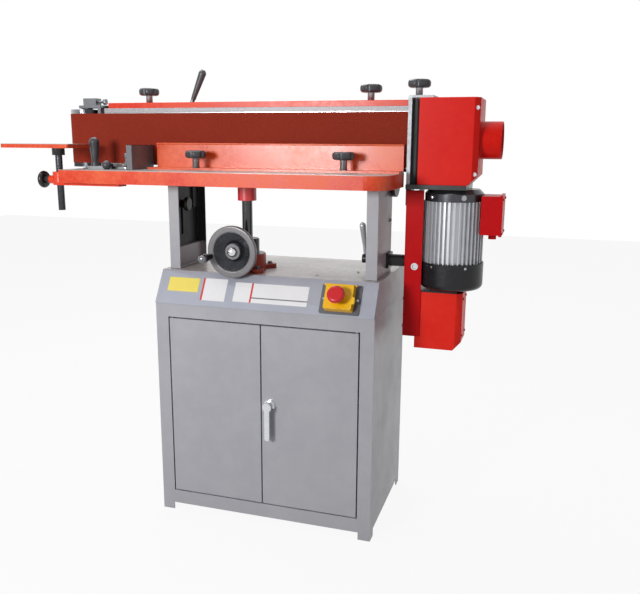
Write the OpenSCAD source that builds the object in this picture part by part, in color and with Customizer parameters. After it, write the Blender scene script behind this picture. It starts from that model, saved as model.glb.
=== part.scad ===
// Oscillating edge sander: a tilting belt head over a lifting table, on a sheet-steel cabinet.
// Millimetres, Z up. X runs along the belt, Y runs from the front to the back.
// The origin is on the floor under the middle of the cabinet.

/* [Cabinet] */
// Width of the cabinet
cab_w = 650; // [620:1:690]
// Depth of the cabinet
cab_d = 400; // [380:1:440]
// Height of the cabinet body below the console
cab_h = 646; // [560:1:720]
// Sheet thickness of the cabinet
sheet_t = 2.5; // [1.5:0.5:4]
// Height of the corner feet under the bottom rail
foot_h = 22; // [10:1:35]
// Width of a corner foot
foot_w = 36; // [25:1:50]
// Frame width left and right of the door opening
door_margin = 39; // [30:1:60]
// Height of the door opening's lower edge
door_sill = 63; // [45:1:90]
// Frame width above the door opening
door_head = 40; // [30:1:60]
// Gap round each door
door_gap = 4; // [3.5:0.5:6]
// Depth of a door's folded edges
door_t = 18; // [14:1:24]

/* [Console] */
// Height of the console above the cabinet body
console_h = 89; // [75:1:110]
// Set-back of the slanted panel's upper edge
console_set = 48; // [30:1:60]
// Overhang of the slanted panel's lower edge
console_lip = 5; // [2:1:12]

/* [Posts] */
// Height of the posts above the console
post_h = 243; // [220:1:280]
// Depth of a post
post_d = 175; // [150:1:190]
// Flange width of a post
post_w = 32; // [26:1:40]
// Wall thickness of a post
post_t = 4; // [3:0.5:5]
// Distance over the posts' outer faces
post_span = 624; // [600:1:626]
// Distance from the cabinet's front to the posts
post_front = 72; // [66:1:90]

/* [Table] */
// Distance from the middle to the table's left end
table_left = 612; // [560:1:612]
// Distance from the middle to the table's right end
table_right = 357; // [345:1:357]
// Depth of the table
table_d = 200; // [190:1:204]
// Height of the table's rim
table_t = 38; // [34:1:50]
// Thickness of the table's top plate
table_plate = 14; // [10:1:18]
// Radius of the table's right front corner
table_corner = 65; // [40:1:80]
// Height that the table can be raised
lift_travel = 85; // [60:1:90]
// Height of the fence
fence_h = 77; // [50:1:90]
// Width of the fence's foot
fence_foot = 60; // [50:1:70]

/* [Belt] */
// Width of the sanding belt
belt_w = 150; // [130:1:160]
// Thickness of the sanding belt
belt_t = 1.2; // [0.8:0.1:2]
// Length of the sanding belt
belt_len = 2662; // [2640:1:2700]
// Diameter of the two drums
drum_d = 100; // [96:1:104]
// Distance from the middle to the drive drum's axis
drive_x = 490; // [488:1:496]
// Length of a drum past each edge of the belt
drum_over = 13; // [8:1:16]
// Thickness of the platen
platen_t = 8; // [6:1:10]

/* [Head] */
// Height of the pivot above the posts
pivot_rise = 17; // [16:1:24]
// Diameter of the pivot pins
pivot_d = 20; // [16:1:24]
// Stroke of the oscillation
osc_stroke = 8; // [4:1:10]
// Diameter of the dust port
port_d = 100; // [80:1:110]
// Length of the dust port
port_l = 56; // [40:1:80]

/* [Motor] */
// Diameter over the motor's fins
motor_d = 168; // [150:1:170]
// Length of the finned body
motor_h = 170; // [150:1:180]
// Diameter of the fan cover
fan_cover_d = 176; // [172:1:178]
// Height of the fan cover
fan_cover_h = 75; // [60:1:80]
// Number of fins round the motor
fin_count = 40; // [24:1:48]

/* [Lift] */
// Diameter of the handwheel
wheel_d = 146; // [140:1:160]
// Diameter of the lift screw
screw_d = 30; // [24:1:32]

/* [Hidden] */
$fn = 64;

// Overrun of cuts past the faces that they open
cut = 1;
// Clearance between pieces that move past each other, and of a shaft in its bore
slip = 0.3;
fit = 0.05;

// Colours
grey_paint = [0.62, 0.63, 0.66];
red_paint = [0.89, 0.22, 0.13];
deep_red = [0.78, 0.07, 0.09];
cast_red = [0.60, 0.16, 0.12];
black = [0.10, 0.10, 0.11];
dark_grey = [0.24, 0.24, 0.26];
steel = [0.72, 0.73, 0.75];
alu = [0.82, 0.83, 0.84];
belt_brown = [0.45, 0.15, 0.10];
yellow = [0.96, 0.80, 0.08];
green = [0.10, 0.55, 0.20];

// Levels and places that several pieces share
cab_front = -cab_d / 2;
cab_back = cab_d / 2;
cab_top = cab_h + console_h;
post_top = cab_top + post_h;
post_x = post_span / 2;
post_y0 = cab_front + post_front;
post_y1 = post_y0 + post_d;
table_post_gap = 4;
table_z0 = post_top + table_post_gap;
table_z1 = table_z0 + table_t;
guide_in = 24;
guide_w = 68;
guide_back = 14;
table_y1 = post_y0 + guide_in + guide_w + guide_back;
table_y0 = table_y1 - table_d;
table_belt_gap = 7;
belt_y = table_y1 + table_belt_gap;
belt_rise = 14;
belt_z0 = table_z1 + belt_rise;
belt_z1 = belt_z0 + belt_w;
belt_mid = (belt_z0 + belt_z1) / 2;
drum_r = drum_d / 2;
loop_r = drum_r + slip;
loop_y = belt_y + belt_t + loop_r;
loop_back = loop_y + loop_r + belt_t;
idler_x = drive_x - (belt_len - PI * (2 * loop_r + belt_t)) / 2;
drum_z0 = belt_z0 - drum_over;
drum_z1 = belt_z1 + drum_over;
pivot_back = 3;
pivot_y = post_y1 + pivot_back;
pivot_z = post_top + pivot_rise;
panel_lean = atan2(console_set + console_lip, console_h);

// Box from one corner to the opposite corner
module span(a, b) {
    translate(a)
        cube([b[0] - a[0], b[1] - a[1], b[2] - a[2]]);
}

// Round bars along X, Y and Z, from a point on their axis
module bar_x(r, p, len) {
    translate(p)
        rotate([0, 90, 0])
            cylinder(r = r, h = len);
}

module bar_y(r, p, len) {
    translate(p)
        rotate([-90, 0, 0])
            cylinder(r = r, h = len);
}

module bar_z(r, p, len) {
    translate(p)
        cylinder(r = r, h = len);
}

// Rectangle with round corners
module round_rect(w, h, r) {
    square([w - 2 * r, h], center = true);
    square([w, h - 2 * r], center = true);
    for (x = [-1, 1], y = [-1, 1])
        translate([x * (w / 2 - r), y * (h / 2 - r)])
            circle(r = r);
}

// Slot with round ends between two points of a plane
module slot_2d(a, b, r) {
    run = b - a;
    translate(a)
        circle(r = r);
    translate(b)
        circle(r = r);
    translate(a)
        rotate(atan2(run[1], run[0]))
            translate([0, -r])
                square([norm(run), 2 * r]);
}

// A plate in the YZ plane, drawn in Y and Z, from x0 over a thickness
module plate_yz(x0, t) {
    translate([x0, 0, 0])
        rotate([90, 0, 90])
            linear_extrude(t)
                children();
}

// A plate in the XZ plane, drawn in X and Z, from y0 towards the back
module plate_xz(y0, t) {
    translate([0, y0 + t, 0])
        rotate([90, 0, 0])
            linear_extrude(t)
                children();
}

// Cabinet
door_x = cab_w / 2 - door_margin;
door_z1 = cab_h - door_head;
frame_return = 24;
stop_w = 8;
pin_r = 3;
pin_in = 6;
pin_l = 16;
pin_x = door_x - door_gap - pin_in;
pin_y = cab_front + pin_in;
shelf_z = foot_h + sheet_t;
pad_r = 28;

module cabinet_body() color(grey_paint) {
    difference() {
        span([-cab_w / 2, cab_front, 0], [cab_w / 2, cab_back, cab_h]);
        span([-cab_w / 2 + sheet_t, cab_front + sheet_t, shelf_z],
             [cab_w / 2 - sheet_t, cab_back - sheet_t, cab_h + cut]);
        span([-door_x, cab_front - cut, door_sill], [door_x, cab_front + sheet_t + cut, door_z1]);
        span([-cab_w / 2 + sheet_t, cab_front + sheet_t, -cut],
             [cab_w / 2 - sheet_t, cab_back - sheet_t, foot_h]);
        span([-cab_w / 2 + foot_w, cab_front - cut, -cut],
             [cab_w / 2 - foot_w, cab_back + cut, foot_h]);
        span([-cab_w / 2 - cut, cab_front + foot_w, -cut],
             [cab_w / 2 + cut, cab_back - foot_w, foot_h]);
    }
    bar_z(pad_r, [0, 0, 0], (foot_h + shelf_z) / 2);
    door_frame();
}

// Folded returns round the door opening, with the holes for the door pins
module door_frame() {
    difference() {
        span([-door_x - sheet_t, cab_front + sheet_t, door_sill - sheet_t],
             [door_x + sheet_t, cab_front + frame_return, door_z1 + sheet_t]);
        span([-door_x, cab_front, door_sill], [door_x, cab_front + frame_return + cut, door_z1]);
        for (side = [-1, 1])
            bar_z(pin_r + fit, [side * pin_x, pin_y, 0], cab_h);
    }
    for (z = [door_sill, door_z1 - stop_w])
        span([-door_x, cab_front + frame_return - sheet_t, z],
             [door_x, cab_front + frame_return, z + stop_w]);
}

// A door: a pan with folded edges and a stiffener across its back
stiff_w = 60;
stiff_t = 10;
leaf_w = door_x - door_gap - door_gap / 2;
handle_x = 26;
handle_z = 372;
handle_shaft_r = 5;

module door_leaf(side) {
    x_out = side * (door_x - door_gap);
    x_in = side * door_gap / 2;
    x0 = min(x_out, x_in);
    z0 = door_sill + door_gap;
    z1 = door_z1 - door_gap;
    mid = (z0 + z1) / 2;
    difference() {
        span([x0, cab_front, z0], [x0 + leaf_w, cab_front + door_t, z1]);
        span([x0 + sheet_t, cab_front + sheet_t, z0 + sheet_t],
             [x0 + leaf_w - sheet_t, cab_front + door_t + cut, z1 - sheet_t]);
        bar_z(pin_r + slip, [side * pin_x, pin_y, 0], cab_h);
    }
    difference() {
        span([x0 + sheet_t, cab_front + sheet_t, mid - stiff_w / 2],
             [x0 + leaf_w - sheet_t, cab_front + sheet_t + stiff_t, mid + stiff_w / 2]);
        bar_z(pin_r + slip, [side * pin_x, pin_y, 0], cab_h);
        span([x0, cab_front + sheet_t, mid - stiff_w / 2 + sheet_t],
             [x0 + leaf_w, cab_front + stiff_t, mid + stiff_w / 2 - sheet_t]);
    }
}

module left_door() color(grey_paint) door_leaf(-1);

module right_door() color(grey_paint)
    difference() {
        door_leaf(1);
        bar_y(handle_shaft_r + fit, [handle_x, cab_front - cut, handle_z], door_t);
    }

module door_pins() color(steel)
    for (side = [-1, 1], z = [door_sill - pin_l / 2, door_z1 - pin_l / 2])
        bar_z(pin_r, [side * pin_x, pin_y, z], pin_l);

// Latch handle: boss, drop lever and the tongue behind the door
boss_r = 13;
boss_l = 16;
rosette_share = 1.25;
lever_l = 92;
lever_w = 15;
lever_t = 9;
tongue_l = 44;
tongue_w = 18;
tongue_t = 4;

module door_handle() color(alu) {
    rosette = boss_l / 4;
    bar_y(boss_r * rosette_share, [handle_x, cab_front - rosette, handle_z], rosette);
    bar_y(boss_r, [handle_x, cab_front - boss_l, handle_z], boss_l);
    bar_y(handle_shaft_r, [handle_x, cab_front, handle_z], door_t + tongue_t + slip);
    plate_xz(cab_front - boss_l - lever_t, lever_t) {
        slot_2d([handle_x, handle_z], [handle_x, handle_z - lever_l], lever_w / 2);
        translate([handle_x, handle_z])
            circle(r = boss_r);
    }
    plate_xz(cab_front + door_t + slip, tongue_t)
        slot_2d([handle_x, handle_z], [handle_x, handle_z - tongue_l], tongue_w / 2);
}

// Console: slanted front, level top with the holes of the jack
jack_x = -91;
jack_in = 44;
jack_y = table_y1 - jack_in;
screw_r = screw_d / 2;

module console_profile(inset) {
    lean_in = inset / cos(panel_lean);
    polygon([
        [cab_front - console_lip + lean_in, cab_h],
        [cab_front + console_set + lean_in - inset * tan(panel_lean), cab_top - inset],
        [cab_back - inset, cab_top - inset],
        [cab_back - inset, cab_h]
    ]);
}

module console() color(grey_paint)
    difference() {
        plate_yz(-cab_w / 2, cab_w)
            console_profile(0);
        plate_yz(-cab_w / 2 + sheet_t, cab_w - 2 * sheet_t)
            console_profile(sheet_t);
        bar_z(screw_r + sheet_t, [jack_x, jack_y, cab_h], console_h + cut);
    }

// Posts: channels that open inwards, each with a foot plate
foot_plate_t = 6;
post_foot_t = 14;
post_foot_h = [60, 26];
lock_y = post_y0 + guide_in + guide_w / 2;
lock_drop = 58;
lock_z = post_top - lock_drop;
lock_stud_r = 6;
clamp_in = 39;
clamp_y = post_y1 - clamp_in;
clamp_rise = 38;
clamp_z = cab_top + clamp_rise;

module post(side) {
    web0 = side > 0 ? post_x - post_t : -post_x;
    in0 = side > 0 ? post_x - post_w : -post_x;
    inner0 = side > 0 ? in0 - cut : in0 + post_t;
    difference() {
        span([in0, post_y0, cab_top], [in0 + post_w, post_y1, post_top]);
        span([inner0, post_y0 + post_t, cab_top + foot_plate_t],
             [inner0 + post_w - post_t + cut, post_y1 - post_t, post_top + cut]);
        if (side < 0)
            bar_x(lock_stud_r + fit, [web0 - cut, lock_y, lock_z], post_w);
        if (side > 0)
            bar_x(lock_stud_r + fit, [web0 - cut, clamp_y, clamp_z], post_w);
    }
    foot0 = side > 0 ? web0 - post_foot_t : web0 + post_t;
    span([foot0, post_y0 + post_t, cab_top + foot_plate_t],
         [foot0 + post_foot_t, post_y1 - post_t, cab_top + post_foot_h[side > 0 ? 1 : 0]]);
    pivot_ear(side);
}

// Ear for the pivot pin, inside the web of a post
module pivot_ear(side) {
    x0 = side > 0 ? post_x - post_t - ear_t : -post_x + post_t;
    difference() {
        plate_yz(x0, ear_t) {
            translate([pivot_y, pivot_z])
                circle(r = ear_r);
            translate([post_y1 - post_t - ear_w, ear_z0])
                square([ear_w, ear_l]);
        }
        bar_x(pivot_d / 2, [x0 - cut, pivot_y, pivot_z], ear_t + 2 * cut);
    }
}

module left_post() color(grey_paint) post(-1);

module right_post() color(grey_paint) post(1);

// Pivot ears welded into the posts, and the pivot pins
ear_t = 7;
ear_r = 24;
ear_l = 92;
ear_z0 = pivot_z - ear_l;
ear_w = 37;
arm_gap = 1;
arm_t = 12;
pin_cap_r = 16;
pin_cap_t = 5;

module pivot_pins() color(steel)
    for (side = [-1, 1])
        mirror([side > 0 ? 0 : 1, 0, 0]) {
            bar_x(pivot_d / 2, [post_x - post_t - ear_t, pivot_y, pivot_z],
                  ear_t + post_t + arm_gap + arm_t + slip);
            bar_x(pin_cap_r, [post_x + arm_gap + arm_t + slip, pivot_y, pivot_z], pin_cap_t);
        }

// Round knob that locks the table's guide plate to the left post
lock_knob_r = 21;
lock_knob_l = 26;

module table_lock_knob() color(black) {
    face = -post_x + post_t + guide_gap + guide_t + slip;
    bar_x(lock_stud_r, [-post_x, lock_y, lock_z], face + post_x + lock_knob_l);
    translate([face, lock_y, lock_z])
        rotate([0, 90, 0])
            rotate_extrude()
                knob_profile(lock_knob_r, lock_knob_l, lock_stud_r * 2);
}

// Profile of a round knob on a neck, standing on its seat
rim_share = 0.32;

module knob_profile(r, len, neck_r) {
    rim = r * rim_share;
    square([neck_r, len]);
    translate([0, len - 2 * rim])
        square([r - rim, 2 * rim]);
    translate([r - rim, len - rim])
        circle(r = rim);
}

// Clamp lever: its stud runs through the lock bracket and pulls the motor column against it
clamp_hub_r = 13;
clamp_hub_l = 26;
clamp_sleeve_r = 9;
clamp_sleeve_l = 44;
clamp_arm_l = 118;
clamp_arm_r = 5;
clamp_grip_l = 70;
clamp_grip_r = 9;
clamp_lean = 24;
clamp_nut_r = 16;
clamp_nut_t = 9;

module tilt_lock_lever() color(black) {
    x_in = post_x - post_t - slip;
    x_nut = col_x0 + col_t + slip;
    bar_x(lock_stud_r, [x_in, clamp_y, clamp_z], x_nut + clamp_nut_t - x_in);
    bar_x(clamp_nut_r, [x_nut, clamp_y, clamp_z], clamp_nut_t);
    x_hub = x_in - clamp_sleeve_l - clamp_hub_l;
    bar_x(clamp_sleeve_r, [x_in - clamp_sleeve_l, clamp_y, clamp_z], clamp_sleeve_l);
    bar_x(clamp_hub_r, [x_hub, clamp_y, clamp_z], clamp_hub_l);
    translate([x_hub + clamp_grip_r, clamp_y, clamp_z])
        rotate([clamp_lean, 0, 0]) {
            cylinder(r = clamp_arm_r, h = clamp_arm_l);
            translate([0, 0, clamp_arm_l - clamp_grip_l])
                rotate_extrude()
                    grip_profile(clamp_grip_r, clamp_grip_l);
        }
}

// Profile of a slim grip: narrow at its root, full near its round end
root_share = 0.62;

module grip_profile(r, len) {
    polygon([[0, 0], [r * root_share, 0], [r, len - r], [0, len - r]]);
    intersection() {
        translate([0, len - r])
            circle(r = r);
        square([r, len]);
    }
}

// Screw jack: cast base with a boss for the handwheel shaft
jack_ear_r = 17;
jack_ear_reach = 73;
jack_ear_turn = 45;
jack_flange_t = 12;
jack_body_d = 106;
jack_body_h = 49;
jack_h = 92;
jack_neck_d = 68;
jack_edge = 3;
jack_boss_d = 44;
jack_boss_l = 92;
wheel_rise = 66;
wheel_z = cab_top + wheel_rise;
nut_r = 26;
nut_h = 40;
nut_drop = 46;
nut_z = wheel_z - nut_drop;
shaft_r = 9;
pinion_r = 15;
pinion_l = 16;

module jack_base() color(cast_red)
    difference() {
        union() {
            translate([jack_x, jack_y, cab_top]) {
                linear_extrude(jack_flange_t)
                    for (i = [0, 1])
                        rotate(jack_ear_turn + i * 90)
                            slot_2d([-jack_ear_reach, 0], [jack_ear_reach, 0], jack_ear_r);
                rotate_extrude()
                    polygon([[0, 0], [jack_body_d / 2, 0], [jack_body_d / 2, jack_body_h - jack_edge],
                             [jack_body_d / 2 - jack_edge, jack_body_h], [jack_neck_d / 2, jack_body_h],
                             [jack_neck_d / 2, jack_h - jack_edge],
                             [jack_neck_d / 2 - jack_edge, jack_h], [0, jack_h]]);
            }
            bar_y(jack_boss_d / 2, [jack_x, jack_y - jack_boss_l, wheel_z], jack_boss_l);
        }
        bar_z(screw_r + slip, [jack_x, jack_y, cab_top - cut], jack_h + 2 * cut);
        bar_z(nut_r + slip, [jack_x, jack_y, nut_z - slip], nut_h + 2 * slip);
        bar_y(shaft_r + fit, [jack_x, jack_y - jack_boss_l - cut, wheel_z], jack_boss_l + cut);
        bar_y(pinion_r + slip, [jack_x, pinion_y - slip, wheel_z], pinion_l + nut_r);
    }

// Bevel nut on the lift screw, and the pinion's shaft
pinion_y = jack_y - nut_r - pinion_l;
nut_collar_r = 20;
nut_teeth = 24;
tooth_w = 2.6;
tooth_h = 2.5;

module jack_nut() color(steel)
    difference() {
        union() {
            bar_z(nut_collar_r, [jack_x, jack_y, nut_z], nut_h);
            bar_z(nut_r - tooth_h, [jack_x, jack_y, nut_z], nut_h / 2);
            for (i = [0:nut_teeth - 1])
                translate([jack_x, jack_y, nut_z])
                    rotate(i * 360 / nut_teeth)
                        translate([nut_collar_r, -tooth_w / 2, 0])
                            cube([nut_r - nut_collar_r - slip, tooth_w, nut_h / 2]);
        }
        bar_z(screw_r + fit, [jack_x, jack_y, nut_z - cut], nut_h + 2 * cut);
    }

wheel_y = jack_y - jack_boss_l - slip;
hub_r = 22;
hub_l = 26;
hub_face = 17;
wheel_rim_w = 19;
wheel_rim_t = 15;
wheel_rim_edge = 4;
dish_t = 6;
hub_nut_r = 15;

module handwheel_shaft() color(steel) {
    bar_y(shaft_r, [jack_x, wheel_y - hub_face, wheel_z], hub_face + pinion_y - wheel_y + pinion_l);
    bar_y(pinion_r, [jack_x, pinion_y, wheel_z], pinion_l);
    translate([jack_x, wheel_y - hub_face, wheel_z])
        rotate([90, 0, 0])
            rotate_extrude()
                intersection() {
                    circle(r = hub_nut_r);
                    square(hub_nut_r);
                }
}

// Handwheel: broad rim, dished web and a hub set back in the dish
grip_turn = 193;
grip_in = 8.5;
grip_pin_r = 4;
wheel_r = wheel_d / 2;

rim_in = wheel_r - wheel_rim_w;
rim_z0 = hub_l - wheel_rim_t;
rim_mid = hub_l - wheel_rim_t / 2;
arc_steps = 5;

// Points of a quarter round with its middle at c
function quarter(c, r, start) = [for (i = [0:arc_steps])
    let (a = start + i * 90 / arc_steps) c + r * [cos(a), sin(a)]];

function rim_corner(x, z, start) = quarter([x, z], wheel_rim_edge, start);

module wheel_profile()
    polygon(concat(
        [[shaft_r, 0], [hub_r, 0], [rim_in, rim_mid - dish_t / 2]],
        rim_corner(rim_in + wheel_rim_edge, rim_z0 + wheel_rim_edge, 180),
        rim_corner(wheel_r - wheel_rim_edge, rim_z0 + wheel_rim_edge, 270),
        rim_corner(wheel_r - wheel_rim_edge, hub_l - wheel_rim_edge, 0),
        rim_corner(rim_in + wheel_rim_edge, hub_l - wheel_rim_edge, 90),
        [[rim_in, rim_mid + dish_t / 2], [hub_r, dish_t], [hub_r, hub_face], [shaft_r, hub_face]]));

module handwheel() color(dark_grey)
    translate([jack_x, wheel_y, wheel_z])
        rotate([90, 0, 0])
            difference() {
                rotate_extrude()
                    wheel_profile();
                rotate(grip_turn)
                    translate([wheel_r - grip_in, 0, -cut])
                        cylinder(r = grip_pin_r, h = hub_l + 2 * cut);
            }

// Turning grip on its pin
grip_l = 62;
grip_r = 13;

module handwheel_grip() color(black)
    translate([jack_x, wheel_y, wheel_z])
        rotate([90, 0, 0])
            rotate(grip_turn)
                translate([wheel_r - grip_in, 0, hub_l + slip]) {
                    bar_z(grip_pin_r - fit, [0, 0, -hub_l / 2], hub_l / 2 + grip_r);
                    rotate_extrude()
                        grip_profile(grip_r, grip_l);
                }

// Switch on the slanted panel: places are given along X and up the panel
switch_in = 99;
switch_x = cab_w / 2 - switch_in;
switch_up = 48;
plate_w = 112;
plate_h = 84;
plate_t = 3;
plate_r = 5;
housing_w = 78;
housing_h = 70;
housing_t = 16;
housing_wall = 2.5;
flap_t = 9;
flap_hinge_r = 3;
mushroom_r = 24;
mushroom_t = 30;
mushroom_stem_r = 9;
mushroom_up = -4;
press = 5;
start_r = 10;
start_up = 18;
start_t = 6;

module on_panel(up) {
    translate([switch_x, cab_front - console_lip, cab_h])
        rotate([90 - panel_lean, 0, 0])
            translate([0, up, 0])
                children();
}

module switch_housing() color(yellow)
    on_panel(switch_up) {
        linear_extrude(plate_t)
            round_rect(plate_w, plate_h, plate_r);
        difference() {
            translate([0, 0, plate_t])
                linear_extrude(housing_t)
                    round_rect(housing_w, housing_h, plate_r);
            translate([0, 0, plate_t + housing_t / 2])
                linear_extrude(housing_t)
                    round_rect(housing_w - 2 * housing_wall, housing_h - 2 * housing_wall,
                               plate_r - housing_wall);
            translate([0, start_up, plate_t])
                cylinder(r = start_r + slip, h = housing_t);
            translate([0, mushroom_up, plate_t])
                cylinder(r = mushroom_stem_r + slip, h = housing_t);
        }
        for (side = [-1, 1])
            bar_x(flap_hinge_r, [side * (housing_w / 2 + flap_hinge_r) - flap_hinge_r, housing_h / 2,
                                 plate_t + housing_t], 2 * flap_hinge_r);
    }

module switch_flap() color(yellow)
    on_panel(switch_up)
        difference() {
            translate([0, 0, plate_t + housing_t + slip])
                linear_extrude(flap_t)
                    difference() {
                        union() {
                            round_rect(housing_w - 2 * slip, housing_h, plate_r);
                            translate([housing_w / 2, mushroom_up - plate_r])
                                round_rect(2 * plate_r + housing_wall, 4 * plate_r, plate_r);
                        }
                        translate([0, mushroom_up])
                            circle(r = mushroom_stem_r + slip);
                    }
            for (side = [-1, 1])
                translate([side * (housing_w / 2) - flap_hinge_r, housing_h / 2, plate_t + housing_t])
                    cube([2 * flap_hinge_r, 3 * flap_hinge_r, 3 * flap_hinge_r], center = true);
        }

module stop_mushroom() color(deep_red)
    on_panel(switch_up)
        translate([0, mushroom_up, plate_t + housing_t / 2 + press + slip]) {
            cylinder(r = mushroom_stem_r, h = housing_t / 2 + flap_t + slip);
            translate([0, 0, housing_t / 2 + flap_t + slip])
                rotate_extrude()
                    knob_profile(mushroom_r, mushroom_t, mushroom_r / 2);
        }

module start_button() color(green)
    on_panel(switch_up)
        translate([0, start_up, plate_t + housing_t / 2 - start_t + press + slip])
            cylinder(r = start_r, h = start_t);

// Table: machined plate on a hollow rim with cross ribs
rim_t = 10;
rib_gap = 140;
rib_in = 12;
gauge_share = 0.56;
gauge_y = table_y0 + table_d * gauge_share;
gauge_w = 16;
gauge_d = 8;
gauge_end = -300;
fence_stud_r = 5;
fence_knob_x = 222;
fence_slide = 18;
fence_slot_in = 9;

module table_outline(inset) {
    flat_x = table_right - table_corner;
    translate([-table_left + inset, table_y0 + inset])
        square([table_left + flat_x - inset, table_d - 2 * inset]);
    translate([-table_left + inset, table_y0 + table_corner])
        square([table_left + table_right - 2 * inset, table_d - table_corner - inset]);
    translate([flat_x, table_y0 + table_corner])
        circle(r = table_corner - inset);
}

module table() color(red_paint)
    difference() {
        union() {
            translate([0, 0, table_z1 - table_plate])
                linear_extrude(table_plate)
                    table_outline(0);
            translate([0, 0, table_z0])
                linear_extrude(table_t)
                    difference() {
                        table_outline(0);
                        table_outline(rim_t);
                    }
            for (x = [-table_left + rib_gap:rib_gap:table_right - rib_gap / 2])
                if (abs(x - jack_x) > collar_r + rim_t)
                    span([x, table_y0 + rim_t, table_z0 + rib_in],
                         [x + rim_t, table_y1 - rim_t, table_z1 - table_plate]);
        }
        span([-table_left - cut, gauge_y - gauge_w / 2, table_z1 - gauge_d],
             [gauge_end, gauge_y + gauge_w / 2, table_z1 + cut]);
        for (x = [-fence_knob_x, fence_knob_x])
            bar_z(fence_stud_r + fit, [x + fence_mid, fence_stud_y, table_z0], table_t + cut);
    }

// Guide plates under the table, one in each post
guide_t = 6;
guide_gap = 1;
guide_foot = 28;
guide_tail = 20;
slot_r = lock_stud_r + slip;

module table_guides() color(dark_grey)
    for (side = [-1, 1]) {
        x_out = post_x - post_t - guide_gap;
        x0 = side > 0 ? x_out - guide_t : -x_out;
        foot0 = side > 0 ? x_out - guide_foot : -x_out;
        y0 = post_y0 + guide_in;
        z1 = table_z1 - table_plate;
        low = lock_z - lift_travel - guide_tail;
        difference() {
            span([x0, y0, low], [x0 + guide_t, y0 + guide_w, z1]);
            if (side < 0)
                plate_yz(x0 - cut, guide_t + 2 * cut)
                    slot_2d([lock_y, lock_z - lift_travel], [lock_y, lock_z], slot_r);
        }
        span([foot0, y0, z1 - guide_t], [foot0 + guide_foot, y0 + guide_w, z1]);
    }

// Lift screw with the collar that carries the table
collar_r = 27;
collar_h = 70;
collar_flange_r = 31;
collar_flange_t = 10;
screw_low = 60;

module lift_screw() color(cast_red) {
    top = table_z1 - table_plate;
    bar_z(screw_r, [jack_x, jack_y, cab_top - screw_low], top - cab_top + screw_low);
    bar_z(collar_r, [jack_x, jack_y, top - collar_h], collar_h);
    bar_z(collar_flange_r, [jack_x, jack_y, top - collar_flange_t], collar_flange_t);
}

// Fence: an angle on the table with two slots across its foot
fence_t = 5;
fence_foot_t = 6;
fence_left = 398;
fence_right = table_right;
fence_mid = (fence_right - fence_left) / 2;
fence_in = 5;
fence_y1 = table_y1 - fence_in;
fence_stud_y = fence_y1 - fence_t - fence_foot + fence_slot_in;
hem_r = 3;

module fence() color(red_paint)
    difference() {
        union() {
            span([-fence_left, fence_y1 - fence_t, table_z1],
                 [fence_right, fence_y1, table_z1 + fence_h - hem_r]);
            bar_x(hem_r, [-fence_left, fence_y1 - hem_r, table_z1 + fence_h - hem_r],
                  fence_left + fence_right);
            span([-fence_left, fence_y1 - fence_t - fence_foot, table_z1],
                 [fence_right, fence_y1, table_z1 + fence_foot_t]);
        }
        for (x = [-fence_knob_x, fence_knob_x])
            translate([0, 0, table_z1 - cut])
                linear_extrude(fence_foot_t + 2 * cut)
                    slot_2d([x + fence_mid, fence_stud_y], [x + fence_mid, fence_stud_y + fence_slide],
                            fence_stud_r + slip);
    }

// Star knob on a stud: the stud reaches down below the seat
star_r = 31;
star_h = 22;
star_neck_r = 10;
star_neck_h = 22;
fence_neck_h = 28;
star_lobes = 6;
star_notch_r = 8;
star_edge = 9;

module star_knob(stud_r, stud_l, neck_h) {
    bar_z(stud_r, [0, 0, -stud_l], stud_l + neck_h);
    bar_z(star_neck_r, [0, 0, slip], neck_h - slip);
    translate([0, 0, neck_h])
        difference() {
            rotate_extrude() {
                square([star_r - star_edge, star_h]);
                translate([star_r - star_edge, star_h - star_edge])
                    circle(r = star_edge);
                translate([star_r - star_edge, star_edge])
                    circle(r = star_edge);
                translate([star_r - star_edge, star_edge])
                    square([star_edge, star_h - 2 * star_edge]);
            }
            for (i = [0:star_lobes - 1])
                rotate((i + 1 / 2) * 360 / star_lobes)
                    translate([star_r + star_notch_r / 2, 0, -cut])
                        cylinder(r = star_notch_r, h = star_h + 2 * cut);
        }
}

module fence_knob(side) color(dark_grey)
    translate([side * fence_knob_x + fence_mid, fence_stud_y, table_z1 + fence_foot_t])
        star_knob(fence_stud_r, fence_foot_t + table_plate / 2, fence_neck_h);

module fence_knob_left() fence_knob(-1);

module fence_knob_right() fence_knob(1);

// Mitre gauge: bar in the slot, head with its fence plate, clamp handle
gauge_x = -455;
gauge_l = 130;
gauge_base_t = 8;
gauge_pin_r = 6;
gauge_reach = 108;
gauge_post_x = gauge_x - gauge_reach;
head_l = 122;
head_h = 62;
head_t = 18;
head_off = 20;
head_base_r = 40;
head_near = 6;
gauge_handle_r = 15;
gauge_handle_l = 74;
gauge_stud_h = 10;

module mitre_bar() color(steel) {
    span([gauge_x - gauge_l, gauge_y - gauge_w / 2 + slip, table_z1 - gauge_d + slip],
         [gauge_x + head_off, gauge_y + gauge_w / 2 - slip, table_z1]);
    translate([0, 0, table_z1])
        linear_extrude(gauge_base_t)
            difference() {
                slot_2d([gauge_post_x - gauge_w, gauge_y], [gauge_x, gauge_y], gauge_w);
                translate([gauge_post_x, gauge_y])
                    circle(r = gauge_pin_r);
            }
    bar_z(gauge_pin_r, [gauge_x, gauge_y, table_z1], gauge_base_t * 2 + slip);
}

module mitre_head() color(dark_grey) {
    z0 = table_z1 + gauge_base_t + slip;
    near = belt_y - head_near - gauge_y;
    translate([gauge_x, gauge_y, z0])
        difference() {
            union() {
                linear_extrude(gauge_base_t)
                    intersection() {
                        circle(r = head_base_r);
                        translate([-head_base_r, -head_base_r])
                            square([head_base_r + head_off, 2 * head_base_r]);
                    }
                span([head_off, near - head_l, -gauge_base_t], [head_off + head_t, near, head_h]);
            }
            translate([0, 0, -cut])
                cylinder(r = gauge_pin_r + fit, h = gauge_base_t + 2 * cut);
        }
}

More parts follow.
